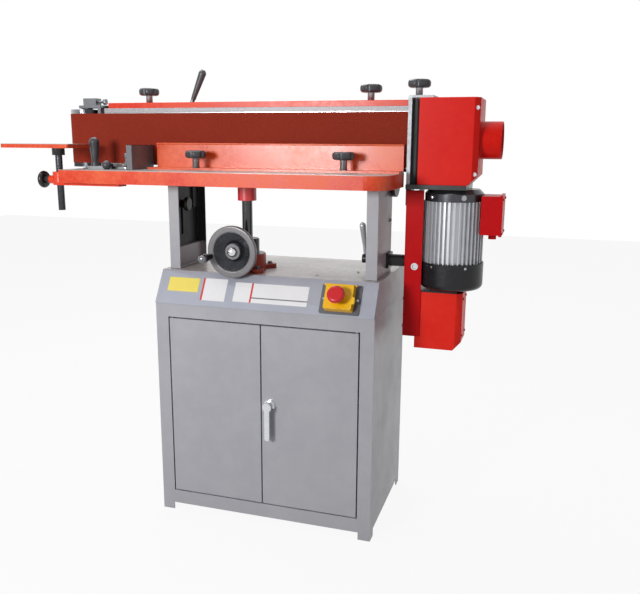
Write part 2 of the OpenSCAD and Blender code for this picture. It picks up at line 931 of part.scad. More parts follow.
module mitre_handle() color(dark_grey)
    translate([gauge_post_x, gauge_y, table_z1 + gauge_base_t + slip]) {
        cylinder(r = gauge_pin_r + head_near, h = gauge_stud_h);
        bar_z(gauge_pin_r - slip, [0, 0, -gauge_base_t], gauge_base_t + gauge_stud_h);
        translate([0, 0, gauge_stud_h])
            rotate_extrude()
                grip_profile(gauge_handle_r, gauge_handle_l);
    }

// Extension table: clamp bracket on the main table, rod, plate and knob
ext_out = 26;
ext_in = 42;
ext_x = -table_left - ext_out;
ext_y = table_y0 + ext_in;
ext_rod_r = 10;
ext_barrel_r = 20;
ext_barrel_h = 30;
ext_bar_l = 210;
ext_bar_t = 8;
ext_w = 236;
ext_d = 122;
ext_plate_t = 12;
ext_rise = 60;
ext_right = 46;
ext_front = 20;
ext_corner = 8;
ext_collar_r = 18;
ext_collar_h = 20;
ext_rod_l = 180;
ext_z0 = table_z1 + ext_rise;
ext_bar_z = table_z0 - ext_bar_t;
ext_knob_r = 25;
ext_knob_l = 30;
ext_stud_r = 6;
ext_stud_l = 14;

module extension_bracket() color(red_paint)
    difference() {
        union() {
            bar_z(ext_barrel_r, [ext_x, ext_y, ext_bar_z], ext_barrel_h + ext_bar_t);
            span([ext_x, ext_y - ext_barrel_r, ext_bar_z],
                 [ext_x + ext_bar_l, ext_y + ext_barrel_r, table_z0]);
            bar_x(ext_stud_r * 2, [ext_x - ext_barrel_r - ext_stud_l, ext_y, ext_bar_z + ext_barrel_h / 2],
                  ext_stud_l + ext_barrel_r);
        }
        bar_z(ext_rod_r + fit, [ext_x, ext_y, ext_bar_z - cut], ext_barrel_h + ext_bar_t + 2 * cut);
        bar_x(ext_stud_r + fit, [ext_x - ext_barrel_r - ext_stud_l - cut, ext_y,
                                 ext_bar_z + ext_barrel_h / 2], ext_stud_l + ext_barrel_r);
    }

module extension_rod() color(steel)
    difference() {
        bar_z(ext_rod_r, [ext_x, ext_y, ext_z0 - ext_rod_l], ext_rod_l);
        bar_z(ext_stud_r / 2, [ext_x, ext_y, ext_z0 - ext_collar_h], ext_collar_h + cut);
    }

module extension_table() color(red_paint) {
    difference() {
        bar_z(ext_collar_r, [ext_x, ext_y, ext_z0 - ext_collar_h], ext_collar_h);
        bar_z(ext_rod_r + fit, [ext_x, ext_y, ext_z0 - ext_collar_h - cut], ext_collar_h + cut);
    }
    translate([ext_x + ext_right - ext_w / 2, ext_y - ext_front + ext_d / 2, ext_z0])
        linear_extrude(ext_plate_t)
            round_rect(ext_w, ext_d, ext_corner);
}

module extension_knob() color(black)
    translate([ext_x - ext_barrel_r - ext_stud_l - slip, ext_y, ext_bar_z + ext_barrel_h / 2])
        rotate([0, -90, 0]) {
            bar_z(ext_stud_r, [0, 0, -ext_stud_l - ext_barrel_r + ext_rod_r + slip],
                  ext_stud_l + ext_barrel_r - ext_rod_r);
            rotate_extrude()
                knob_profile(ext_knob_r, ext_knob_l, ext_stud_r * 2);
        }

// Tilt frame: cross plate over the posts, two pivot arms, a drop plate for the motor column
arm_r = 46;
arm_w = 72;
cross_t = 12;
cross_gap = 3;
cross_z0 = pivot_z + ear_r + cross_gap;
cross_z1 = cross_z0 + cross_t;
cross_y0 = loop_y - arm_w / 2;
drop_t = 6;
drop_l = 104;
col_w = 34;
col_d = 96;
col_flange = 15;
col_front = 56.5;
col_gap = 3;
col_x1 = drive_x - fan_cover_d / 2 - col_gap;
col_x0 = col_x1 - col_w;
col_y0 = loop_y - col_front;
rod_r = 12.5;
rod_x = 200;
rod_l = 112;

module tilt_frame() color(dark_grey) {
    difference() {
        span([-post_x - arm_gap - arm_t, cross_y0, cross_z0], [col_x0, cross_y0 + arm_w, cross_z1]);
        for (x = [-rod_x, rod_x])
            bar_z(rod_r, [x, loop_y, cross_z0 - cut], cross_t + 2 * cut);
    }
    for (side = [-1, 1]) {
        x0 = side > 0 ? post_x + arm_gap : -post_x - arm_gap - arm_t;
        difference() {
            plate_yz(x0, arm_t) {
                translate([pivot_y, pivot_z])
                    circle(r = arm_r);
                translate([cross_y0, pivot_z])
                    square([arm_w, cross_z0 - pivot_z]);
            }
            bar_x(pivot_d / 2 + fit, [x0 - cut, pivot_y, pivot_z], arm_t + 2 * cut);
        }
    }
    span([col_x0 - drop_t, cross_y0, cross_z1 - drop_l], [col_x0, cross_y0 + arm_w, cross_z1]);
}

module guide_rods() color(steel)
    for (x = [-rod_x, rod_x])
        bar_z(rod_r, [x, loop_y, cross_z0], cross_t + rod_l);

// Motor column: a folded channel that opens to the back, with a front flange beside the motor
// and a slot for the clamp stud
base_t = 12;
base_drop = 31;
base_z1 = drum_z0 - base_drop;
base_z0 = base_z1 - base_t;
col_top_gap = 4;
col_z1 = base_z0 - col_top_gap;
col_z0 = 560;
col_t = 4;

lock_slot = 24;

module motor_column() color(deep_red) {
    difference() {
        span([col_x0, col_y0, col_z0], [col_x1, col_y0 + col_d, col_z1]);
        span([col_x0 + col_t, col_y0 + col_t, col_z0 - cut],
             [col_x1 - col_t, col_y0 + col_d + cut, col_z1 + cut]);
        bar_x(lock_slot / 2, [col_x0 - cut, clamp_y, clamp_z], col_t + 2 * cut);
        span([col_x0 - cut, clamp_y, clamp_z - lock_slot / 2],
             [col_x0 + col_t + cut, col_y0 + col_d + cut, clamp_z + lock_slot / 2]);
    }
    span([col_x1, col_y0, col_z0], [col_x1 + col_flange, col_y0 + col_t, col_z1]);
}

// Lock bracket on the right post: a bolted foot and a boss that the motor column rests against
bracket_t = 8;
bracket_w = 56;
bracket_h = 44;
bracket_r = 17;
bracket_edge = 6;
bracket_bolt_r = 5;
bracket_bolt_h = 4;
bracket_bolt_y = 22;

module lock_bracket() color(black) {
    difference() {
        union() {
            plate_yz(post_x, bracket_t)
                translate([clamp_y, clamp_z])
                    round_rect(bracket_w, bracket_h, bracket_edge);
            bar_x(bracket_r, [post_x, clamp_y, clamp_z], col_x0 - slip - post_x);
        }
        bar_x(lock_stud_r + fit, [post_x - cut, clamp_y, clamp_z], col_x0 - post_x + 2 * cut);
    }
    for (side = [-1, 1])
        bar_x(bracket_bolt_r, [post_x + bracket_t, clamp_y + side * bracket_bolt_y, clamp_z], bracket_bolt_h);
}

// Oscillation drive under the motor: cover, gear unit with the lid, heart cam and follower
box_w = 131;
box_d = 105;
box_t = 2.5;
box_gap = 10;
bell_h = 33;
motor_z1 = base_z0 - bell_h;
motor_z0 = motor_z1 - motor_h;
fan_z0 = motor_z0 - fan_cover_h;
box_z1 = fan_z0 - box_gap;
box_h = 164;
box_edge = 16;
box_corner = 22;
lid_t = 4;
lid_slot = 38;
box_z0 = box_z1 - box_h;
box_y0 = col_y0 + col_t;
cam_x = col_x1 + box_w / 2;
cam_r = 30;
cam_t = 12;
cam_rise = 66;
cam_z = box_z0 + cam_rise;
cam_steps = 72;
cam_shaft_r = 8;
roller_r = 12;
gear_gap = 10;
gear_d = 33;
gear_w = 84;
gear_h = 84;
follower_w = 24;

// Solid for a sheet cover: its right front edge is folded and its lower right corner is cut
module folded(a, b, edge, corner) {
    intersection() {
        translate([0, 0, a[2]])
            linear_extrude(b[2] - a[2])
                polygon([[a[0], a[1]], [b[0] - edge, a[1]], [b[0], a[1] + edge], [b[0], b[1]], [a[0], b[1]]]);
        plate_xz(a[1], b[1] - a[1])
            polygon([[a[0], a[2]], [b[0] - corner, a[2]], [b[0], a[2] + corner], [b[0], b[2]], [a[0], b[2]]]);
    }
}

// Change of a fold's width on the inside of a sheet of thickness t
function inner_fold(t) = t * (2 - sqrt(2));

module oscillation_box() color(deep_red)
    difference() {
        folded([col_x1, box_y0, box_z0], [col_x1 + box_w, box_y0 + box_d, box_z1], box_edge, box_corner);
        folded([col_x1 - cut, box_y0 + box_t, box_z0 + box_t],
               [col_x1 + box_w - box_t, box_y0 + box_d - box_t, box_z1 + cut],
               box_edge - inner_fold(box_t), box_corner - inner_fold(box_t));
    }

module oscillation_gear() color(dark_grey) {
    y0 = loop_y + cam_t / 2 + gear_gap;
    difference() {
        span([col_x1, y0, cam_z - gear_h / 2], [cam_x + gear_w / 4, y0 + gear_d, cam_z + gear_h / 2]);
        bar_y(cam_shaft_r + fit, [cam_x, y0 - cut, cam_z], gear_d);
    }
    difference() {
        span([col_x1, box_y0, box_z1], [col_x1 + box_w - box_edge, box_y0 + box_d, box_z1 + lid_t]);
        span([cam_x - lid_slot / 2, loop_y - lid_slot / 2, box_z1 - cut],
             [cam_x + lid_slot / 2, loop_y + lid_slot / 2, box_z1 + lid_t + cut]);
    }
}

// Heart cam: the radius grows evenly over half a turn and falls back over the other half
function heart(a) = cam_r + osc_stroke * (a < 180 ? a : 360 - a) / 180;

module oscillation_cam() color(steel) {
    translate([cam_x, loop_y + cam_t / 2, cam_z])
        rotate([90, 0, 0])
            linear_extrude(cam_t)
                polygon([for (i = [0:cam_steps - 1])
                    let (a = i * 360 / cam_steps) heart(a) * [sin(a), cos(a)]]);
    bar_y(cam_shaft_r, [cam_x, loop_y - cam_t, cam_z], cam_t * 2 + gear_d / 2);
}

module cam_follower() color(steel) {
    z0 = cam_z + cam_r + roller_r + slip;
    bar_y(roller_r, [cam_x, loop_y - cam_t / 2, z0], cam_t);
    bar_y(cam_shaft_r / 2, [cam_x, loop_y - follower_w / 2, z0], follower_w);
    for (side = [-1, 1])
        span([cam_x - cam_shaft_r, loop_y + side * follower_w / 2 - box_t, z0 - cam_shaft_r],
             [cam_x + cam_shaft_r, loop_y + side * follower_w / 2 + box_t, fan_z0]);
    span([cam_x - cam_shaft_r, loop_y - follower_w / 2, fan_z0 - box_gap],
         [cam_x + cam_shaft_r, loop_y + follower_w / 2, fan_z0]);
}

// Head beam: a box tube inside the belt loop, with bushes for the guide rods
beam_t = 5;
beam_d = 84;
beam_in = 12;
beam_h = 130;
beam_x0 = -580;
beam_y0 = belt_y + belt_t + slip + platen_t;
beam_z0 = belt_z0 + beam_in;
beam_z1 = beam_z0 + beam_h;
bush_r = 20;
bush_l = 100;
bar_w = 40;
bar_h = 30;
bar_end = 20;
tension_x = -335;
tension_drop = 14;
tension_z = beam_z1 - tension_drop;
tension_pin_r = 6;
lug_t = 6;
lug_gap = 14;
guide_plate_x = -450;
guide_plate_t = 10;
guard_stud_r = 12;
knob_stud_r = 5;
guard_knob_x = [-456, 246];

module head_beam() color(grey_paint)
    difference() {
        union() {
            difference() {
                span([beam_x0, beam_y0, beam_z0], [beam_x1, beam_y0 + beam_d, beam_z1]);
                span([beam_x0 - cut, beam_y0 + beam_t, beam_z0 + beam_t],
                     [beam_x1 + cut, beam_y0 + beam_d - beam_t, beam_z1 - beam_t]);
            }
            for (x = [beam_x0, guide_plate_x])
                span([x, beam_y0, beam_z0], [x + guide_plate_t, beam_y0 + beam_d, beam_z1]);
            for (x = [-rod_x, rod_x])
                bar_z(bush_r, [x, loop_y, beam_z0], bush_l);
            for (x = guard_knob_x)
                bar_z(guard_stud_r, [x, loop_y, beam_z1 - beam_t], guard_z0 - beam_z1 + beam_t);
            for (y = [loop_y - lug_gap - lug_t, loop_y + lug_gap])
                span([tension_x - 2 * tension_pin_r, y, tension_z - 2 * tension_pin_r],
                     [tension_x + 2 * tension_pin_r, y + lug_t, beam_z1]);
        }
        for (x = [-rod_x, rod_x])
            bar_z(rod_r + fit, [x, loop_y, beam_z0 - cut], bush_l + 2 * cut);
        for (x = guard_knob_x)
            bar_z(knob_stud_r + slip, [x, loop_y, beam_z1 - beam_t - cut],
                  guard_z0 - beam_z1 + beam_t + 2 * cut);
        span([beam_x0 - cut, loop_y - bar_w / 2 - slip, belt_mid - bar_h / 2 - slip],
             [guide_plate_x + guide_plate_t + cut, loop_y + bar_w / 2 + slip, belt_mid + bar_h / 2 + slip]);
        bar_y(tension_pin_r + fit, [tension_x, loop_y - bar_w, tension_z], 2 * bar_w);
        span([tension_x - lever_slot, loop_y - lug_gap, beam_z1 - beam_t - cut],
             [tension_x + lever_slot, loop_y + lug_gap, beam_z1 + cut]);
    }

// Platen behind the belt, with the pale strip along its upper edge
platen_x0 = -586;
platen_x1 = 362;
platen_low = 4;
strip_h = 13;
strip_d = 14;
strip_lift = 2;

module platen() color(steel)
    span([platen_x0, beam_y0 - platen_t, belt_z0 - platen_low],
         [platen_x1, beam_y0, belt_z1 + strip_lift]);

module platen_strip() color(alu)
    span([platen_x0, beam_y0 - platen_t, belt_z1 + strip_lift],
         [platen_x1, beam_y0 - platen_t + strip_d, belt_z1 + strip_lift + strip_h]);

// Belt guard: folded cover over the top and the back of the belt
guard_t = 2.5;
guard_rise = 17;
guard_z1 = belt_z1 + strip_lift + strip_h + guard_rise;
guard_z0 = guard_z1 - guard_t;
guard_back = 14;
guard_y0 = beam_y0 - platen_t + strip_d + slip;
guard_y1 = loop_back + guard_back;
guard_x0 = -580;
guard_x1 = 362;
guard_lip = 17;
guard_low = 4;

module belt_guard() color(red_paint)
    difference() {
        union() {
            span([guard_x0, guard_y0, guard_z0], [guard_x1, guard_y1, guard_z1]);
            span([guard_x0, guard_y0, guard_z1 - guard_lip], [guard_x1, guard_y0 + guard_t, guard_z1]);
            span([guard_x0, guard_y1 - guard_t, belt_z0 - guard_low], [guard_x1, guard_y1, guard_z1]);
        }
        for (x = guard_knob_x)
            bar_z(knob_stud_r + slip, [x, loop_y, guard_z0 - cut], guard_t + 2 * cut);
        span([tension_x - 2 * lever_slot, loop_y - lug_gap - slip, guard_z0 - cut],
             [tension_x + 3 * lever_slot, loop_y + lug_gap + slip, guard_z1 + cut]);
    }

module guard_knob(i) color(dark_grey)
    translate([guard_knob_x[i], loop_y, guard_z1])
        star_knob(knob_stud_r, guard_t + guard_stud_r, star_neck_h);

module guard_knob_left() guard_knob(0);

module guard_knob_right() guard_knob(1);

// End frame at the right end of the belt: end plate, motor base, top plate and front strip
frame_x = 366;
frame_w = 66;
frame_t = 6;
strip_w = 10;
strip_t = 14;
strip_gap = 7;
end_t = 8;
base_past = 40;
base_x1 = drive_x + base_past;
base_half = 80;
hood_x0 = 397;
hood_past = 66;
hood_half = 78;
hood_over = 22;
hood_x1 = drive_x + hood_past;
hood_y0 = loop_y - hood_half;
hood_y1 = loop_y + hood_half;
hood_z1 = drum_z1 + hood_over;
hood_t = 2.5;
hood_edge = 14;
hood_cut = 26;
hood_knob_x = 386;
beam_x1 = 384;
shaft_hole = 20;

module end_frame() color(steel) {
    top = hood_z1 + slip;
    strip_y = belt_y - strip_gap;
    difference() {
        span([frame_x, loop_y - base_half, base_z0], [base_x1, loop_y + base_half, base_z1]);
        bar_z(shaft_hole, [drive_x, loop_y, base_z0 - cut], base_t + 2 * cut);
    }
    difference() {
        union() {
            span([beam_x1, beam_y0, base_z0], [beam_x1 + end_t, beam_y0 + beam_d, top + frame_t]);
            span([frame_x, strip_y - strip_t, top], [frame_x + frame_w, loop_y + beam_d / 2, top + frame_t]);
        }
        bar_z(knob_stud_r + fit, [hood_knob_x, loop_y - drum_r / 2, top - cut], frame_t + 2 * cut);
    }
    span([frame_x, strip_y - strip_t, base_z0], [frame_x + strip_w, strip_y, top + frame_t]);
}

// Dust hood round the drive drum, with the dust port on its right side
port_t = 3;

module dust_hood() color(red_paint)
    difference() {
        union() {
            difference() {
                folded([hood_x0, hood_y0, base_z1], [hood_x1, hood_y1, hood_z1], hood_edge, hood_cut);
                folded([hood_x0 - cut, hood_y0 + hood_t, base_z1 - cut],
                       [hood_x1 - hood_t, hood_y1 - hood_t, hood_z1 - hood_t],
                       hood_edge - inner_fold(hood_t), hood_cut + cut + hood_t - inner_fold(hood_t));
            }
            bar_x(port_d / 2, [hood_x1 - hood_t, loop_y, belt_mid], port_l + hood_t);
        }
        bar_x(port_d / 2 - port_t, [hood_x1 - hood_t - cut, loop_y, belt_mid], port_l + hood_t + 2 * cut);
    }

module hood_knob() color(dark_grey)
    translate([hood_knob_x, loop_y - drum_r / 2, hood_z1 + slip + frame_t])
        star_knob(knob_stud_r, frame_t, star_neck_h);

// Motor: top bell, finned housing, fan cover, terminal box
bell_d = 162;
bell_step = 12;
core_r = 73;
stator_r = 50;
fin_t = 3;
shield_t = 14;
motor_shaft_r = 14;
cover_t = 3;
cover_edge = 16;
grille_holes = 24;
grille_r = 4;
grille_ring_shares = [0.36, 0.55, 0.70];

module motor_bell() color(black)
    translate([drive_x, loop_y, motor_z1])
        rotate_extrude()
            polygon([[motor_shaft_r + fit, 0], [bell_d / 2, 0], [bell_d / 2, bell_h - bell_step],
                     [bell_d / 2 - bell_step, bell_h], [motor_shaft_r + fit, bell_h]]);

module motor_housing() color(alu)
    translate([drive_x, loop_y, motor_z0]) {
        difference() {
            cylinder(r = core_r, h = motor_h);
            translate([0, 0, shield_t])
                cylinder(r = stator_r, h = motor_h);
            translate([0, 0, -cut])
                cylinder(r = motor_shaft_r + fit, h = motor_h);
        }
        for (i = [0:fin_count - 1])
            rotate(i * 360 / fin_count)
                translate([core_r - fin_t, -fin_t / 2, 0])
                    cube([motor_d / 2 - core_r + fin_t, fin_t, motor_h]);
    }

module fan_cover() color(black)
    translate([drive_x, loop_y, fan_z0])
        difference() {
            rotate_extrude()
                difference() {
                    cover_shape(fan_cover_d / 2, cover_edge, fan_cover_h);
                    translate([0, cover_t])
                        cover_shape(fan_cover_d / 2 - cover_t, cover_edge - cover_t, fan_cover_h);
                }
            for (ring_share = grille_ring_shares, i = [0:grille_holes - 1])
                rotate((i + ring_share) * 360 / grille_holes)
                    translate([fan_cover_d / 2 * ring_share, 0, -cut])
                        cylinder(r = grille_r, h = cover_t + 2 * cut);
        }

// Half section of a cup with a round lower edge
module cover_shape(r, edge, h) {
    square([r - edge, h]);
    translate([0, edge])
        square([r, h - edge]);
    translate([r - edge, edge])
        circle(r = edge);
}

term_in = 6;
term_up = 17;
term_w = 57;
term_d = 96;
term_h = 105;
term_lid = 8;
term_edge = 3;
gland_r = 11;
gland_l = 18;

module terminal_box() color(deep_red) {
    x0 = drive_x + motor_d / 2 - term_in;
    z1 = motor_z1 + term_up;
    difference() {
        span([x0, loop_y - term_d / 2, z1 - term_h], [x0 + term_w - term_lid, loop_y + term_d / 2, z1]);
        bar_z(motor_d / 2 + slip, [drive_x, loop_y, motor_z0], motor_h + bell_h);
    }
    span([x0 + term_w - term_lid, loop_y - term_d / 2 - term_edge, z1 - term_h - term_edge],
         [x0 + term_w, loop_y + term_d / 2 + term_edge, z1 + term_edge]);
    bar_z(gland_r, [x0 + term_w / 2, loop_y + term_d / 4, z1 - term_h - gland_l], gland_l);
}

// Drive shaft with rotor and fan
rotor_r = 48;
rotor_in = 26;
fan_r = 74;
fan_hub_r = 24;
fan_h = 34;
fan_disc_t = 4;
fan_drop = 44;
fan_blades = 8;
blade_t = 3;

module drive_shaft() color(steel) {
    fan_z = motor_z0 - fan_drop;
    bar_z(motor_shaft_r, [drive_x, loop_y, fan_z], drum_z1 - fan_z);
    bar_z(rotor_r, [drive_x, loop_y, motor_z0 + rotor_in], motor_h - 2 * rotor_in);
    bar_z(fan_hub_r, [drive_x, loop_y, fan_z], fan_h);
    bar_z(fan_r, [drive_x, loop_y, fan_z + fan_h - fan_disc_t], fan_disc_t);
    for (i = [0:fan_blades - 1])
        translate([drive_x, loop_y, fan_z])
            rotate(i * 360 / fan_blades)
                translate([fan_hub_r - blade_t, -blade_t / 2, 0])
                    cube([fan_r - fan_hub_r, blade_t, fan_h]);
}

// Drums: a shell on two webs
shell_t = 8;
web_t = 16;
web_in = 6;
drum_hub_r = 26;

module drum(bore_r) {
    h = drum_z1 - drum_z0;
    rotate_extrude() {
        translate([drum_r - shell_t, 0])
            square([shell_t, h]);
        for (z = [web_in, h - web_in - web_t])
            translate([bore_r, z])
                square([drum_r - shell_t - bore_r, web_t]);
        translate([bore_r, web_in])
            square([drum_hub_r - bore_r, h - 2 * web_in]);
    }
}

module drive_drum() color(dark_grey)
    translate([drive_x, loop_y, drum_z0])
        drum(motor_shaft_r);

module idler_drum() color(alu)
    translate([idler_x, loop_y, drum_z0])
        drum(axle_r + fit);

// Sanding belt: one closed band round both drums
module sanding_belt() color(belt_brown)
    translate([0, 0, belt_z0])
        linear_extrude(belt_w)
            difference() {
                slot_2d([idler_x, loop_y], [drive_x, loop_y], loop_r + belt_t);
                slot_2d([idler_x, loop_y], [drive_x, loop_y], loop_r);
            }

// Idler carriage: fork with the axle, slide bar, tracking block and thumbscrew
axle_r = 12;
fork_t = 8;
fork_w = 50;
fork_gap = 0.3;
fork_web = 10;
fork_clear = 5;
track_l = 46;
track_w = 30;
track_h = 22;
track_off = 20;
thumb_r = 4;
thumb_l = 20;
thumb_head_r = 9;
notch_t = 8;
notch_h = 13;
roller_slack = 2.4;
tension_arm = 32;
tension_roller_r = 5;

module idler_carriage() color(steel) {
    web_x = idler_x + drum_r + fork_clear;
    z0 = drum_z0 + web_in - fork_gap;
    z1 = drum_z1 - web_in + fork_gap;
    low = drum_z0 - fork_clear;
    high = drum_z1 + fork_clear;
    bar_z(axle_r, [idler_x, loop_y, low - fork_t], high - low + 2 * fork_t);
    bar_z(drum_hub_r - fork_t, [idler_x, loop_y, low], z0 - low);
    bar_z(drum_hub_r - fork_t, [idler_x, loop_y, z1], high - z1);
    for (z = [low - fork_t, high])
        translate([0, 0, z])
            linear_extrude(fork_t) {
                slot_2d([idler_x, loop_y], [web_x, loop_y], fork_w / 2);
                translate([idler_x, loop_y - fork_w / 2])
                    square([web_x + fork_web - idler_x, fork_w]);
            }
    span([web_x, loop_y - fork_w / 2, low - fork_t], [web_x + fork_web, loop_y + fork_w / 2, high + fork_t]);
    span([web_x, loop_y - bar_w / 2, belt_mid - bar_h / 2],
         [tension_x + bar_end, loop_y + bar_w / 2, belt_mid + bar_h / 2]);
    for (side = [-1, 1])
        span([tension_x + side * (tension_roller_r + roller_slack + notch_t / 2) - notch_t / 2,
              loop_y - lug_gap / 2, belt_mid + bar_h / 2],
             [tension_x + side * (tension_roller_r + roller_slack + notch_t / 2) + notch_t / 2,
              loop_y + lug_gap / 2, belt_mid + bar_h / 2 + notch_h]);
    track_x1 = idler_x + track_off + track_l / 2;
    span([track_x1 - track_l, loop_y - track_w / 2, high + fork_t],
         [track_x1, loop_y + track_w / 2, high + fork_t + track_h]);
    bar_x(thumb_r, [track_x1, loop_y, high + fork_t + track_h / 2], thumb_l);
    bar_x(thumb_head_r, [track_x1 + thumb_l, loop_y, high + fork_t + track_h / 2], fork_t);
}

// Tension lever: short arm with a roller inside the beam, long handle above the guard
handle_lean = 24;
handle_l = 162;
handle_grip_l = 92;
handle_grip_r = 11.5;
handle_rod_r = 6;
lever_arm_r = 4;
lever_slot = 17;

module tension_lever() color(dark_grey) {
    bar_y(tension_pin_r, [tension_x, loop_y - lug_gap - lug_t, tension_z], 2 * (lug_gap + lug_t));
    bar_y(2 * tension_pin_r - slip, [tension_x, loop_y - lug_gap / 2, tension_z], lug_gap);
    plate_xz(loop_y - lug_gap / 4, lug_gap / 2)
        slot_2d([tension_x, tension_z], [tension_x, tension_z - tension_arm], lever_arm_r);
    bar_y(tension_roller_r, [tension_x, loop_y - lug_gap / 4, tension_z - tension_arm], lug_gap / 2);
    translate([tension_x, loop_y, tension_z])
        rotate([0, handle_lean, 0]) {
            cylinder(r = handle_rod_r, h = handle_l);
            translate([0, 0, handle_l - handle_grip_l])
                rotate_extrude()
                    grip_profile(handle_grip_r, handle_grip_l);
        }
}

cabinet_body();
console();
left_door();
right_door();
door_pins();
door_handle();
left_post();
right_post();
pivot_pins();
lock_bracket();
table_lock_knob();
tilt_lock_lever();
jack_base();
jack_nut();
handwheel();
handwheel_shaft();
handwheel_grip();
switch_housing();
switch_flap();
stop_mushroom();
start_button();
table();
table_guides();
lift_screw();
fence();
fence_knob_left();
fence_knob_right();
mitre_bar();
mitre_head();
mitre_handle();
extension_bracket();
extension_rod();
extension_table();
extension_knob();
tilt_frame();
guide_rods();
motor_column();
oscillation_box();
oscillation_gear();
oscillation_cam();
cam_follower();
head_beam();
platen();
platen_strip();
belt_guard();
guard_knob_left();
guard_knob_right();
end_frame();
dust_hood();
hood_knob();
motor_bell();
motor_housing();
fan_cover();
terminal_box();
drive_shaft();
drive_drum();
sanding_belt();
idler_carriage();
idler_drum();
tension_lever();
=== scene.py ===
import math

import bmesh
import bpy
from mathutils import Matrix, Vector


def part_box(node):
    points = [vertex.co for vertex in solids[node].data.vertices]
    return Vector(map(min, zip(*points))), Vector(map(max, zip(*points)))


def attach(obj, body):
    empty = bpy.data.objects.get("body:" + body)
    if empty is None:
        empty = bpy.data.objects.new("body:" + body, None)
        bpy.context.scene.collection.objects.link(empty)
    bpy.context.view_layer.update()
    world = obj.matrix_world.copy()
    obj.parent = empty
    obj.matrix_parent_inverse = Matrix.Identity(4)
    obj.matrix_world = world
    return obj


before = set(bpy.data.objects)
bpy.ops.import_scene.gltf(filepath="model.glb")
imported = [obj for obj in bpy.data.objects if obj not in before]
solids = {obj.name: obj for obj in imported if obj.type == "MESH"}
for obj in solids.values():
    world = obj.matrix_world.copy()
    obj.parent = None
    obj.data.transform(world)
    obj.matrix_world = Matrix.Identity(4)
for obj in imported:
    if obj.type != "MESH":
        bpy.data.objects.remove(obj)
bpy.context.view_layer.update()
scene = bpy.context.scene
print("frame loaded,", len(solids), "solids")

# camera: a standing person's view, a little right of the middle
view = {"place": (0.7420, -2.0130, 1.1026), "yaw": 17.41, "pitch": 12.09, "roll": 0.35,
        "focal": 724.7, "imageWidth": 640, "sensor": 36.0}


def addCamera(s):
    yaw, pitch, roll = (math.radians(s[k]) for k in ("yaw", "pitch", "roll"))
    ahead = Vector((-math.sin(yaw) * math.cos(pitch), math.cos(yaw) * math.cos(pitch), -math.sin(pitch)))
    level = ahead.cross(Vector((0, 0, 1))).normalized()
    upright = level.cross(ahead)
    right = math.cos(roll) * level + math.sin(roll) * upright
    up = -math.sin(roll) * level + math.cos(roll) * upright
    data = bpy.data.cameras.new("viewCamera")
    data.sensor_fit = "HORIZONTAL"
    data.sensor_width = s["sensor"]
    data.lens = s["focal"] / s["imageWidth"] * s["sensor"]
    camera = bpy.data.objects.new("viewCamera", data)
    scene.collection.objects.link(camera)
    camera.matrix_world = Matrix((
        (right.x, up.x, -ahead.x, s["place"][0]),
        (right.y, up.y, -ahead.y, s["place"][1]),
        (right.z, up.z, -ahead.z, s["place"][2]),
        (0, 0, 0, 1)))
    scene.camera = camera


# node helpers
def put(tree, kind, settings=None, values=None, links=None):
    made = tree.nodes.new(kind)
    for key, value in (settings or {}).items():
        setattr(made, key, value)
    for key, value in (values or {}).items():
        made.inputs[key].default_value = value
    for key, socket in (links or {}).items():
        tree.links.new(socket, made.inputs[key])
    return made


def linked(tree, kind, links):
    return put(tree, kind, None, None, links).outputs[0]


def feed(tree, socket, value):
    if isinstance(value, (int, float, tuple)):
        socket.default_value = value
    elif value is not None:
        tree.links.new(value, socket)


def number(tree, operation, a, b=None, clamp=False):
    made = put(tree, "ShaderNodeMath", {"operation": operation, "use_clamp": clamp})
    for slot, value in enumerate((a, b)):
        feed(tree, made.inputs[slot], value)
    return made.outputs[0]


# studio: one lamp left of the camera at table height, a broad one above, plain surroundings
studio = {
    "surround": 0.31,
    "lamps": {
        "frontLamp": {"at": (-0.75, -2.5, 1.35), "aim": (0.0, 0.0, 0.85), "size": 0.55, "watts": 45},
        "topLamp": {"at": (-0.9, 0.4, 3.3), "aim": (0.0, 0.0, 0.6), "size": 2.8, "watts": 66},
        "backLamp": {"at": (-1.2, 2.5, 3.1), "aim": (0.0, 0.0, 0.8), "size": 1.2, "watts": 26},
    },
    "floorSize": 14.0,
    "floorTone": 0.50,
    "floorGlow": 0.92,
}


def lightPathMask(tree):
    path = put(tree, "ShaderNodeLightPath").outputs
    seen = number(tree, "MAXIMUM", path["Is Camera Ray"], path["Is Glossy Ray"])
    return number(tree, "MAXIMUM", seen, path["Is Transmission Ray"])


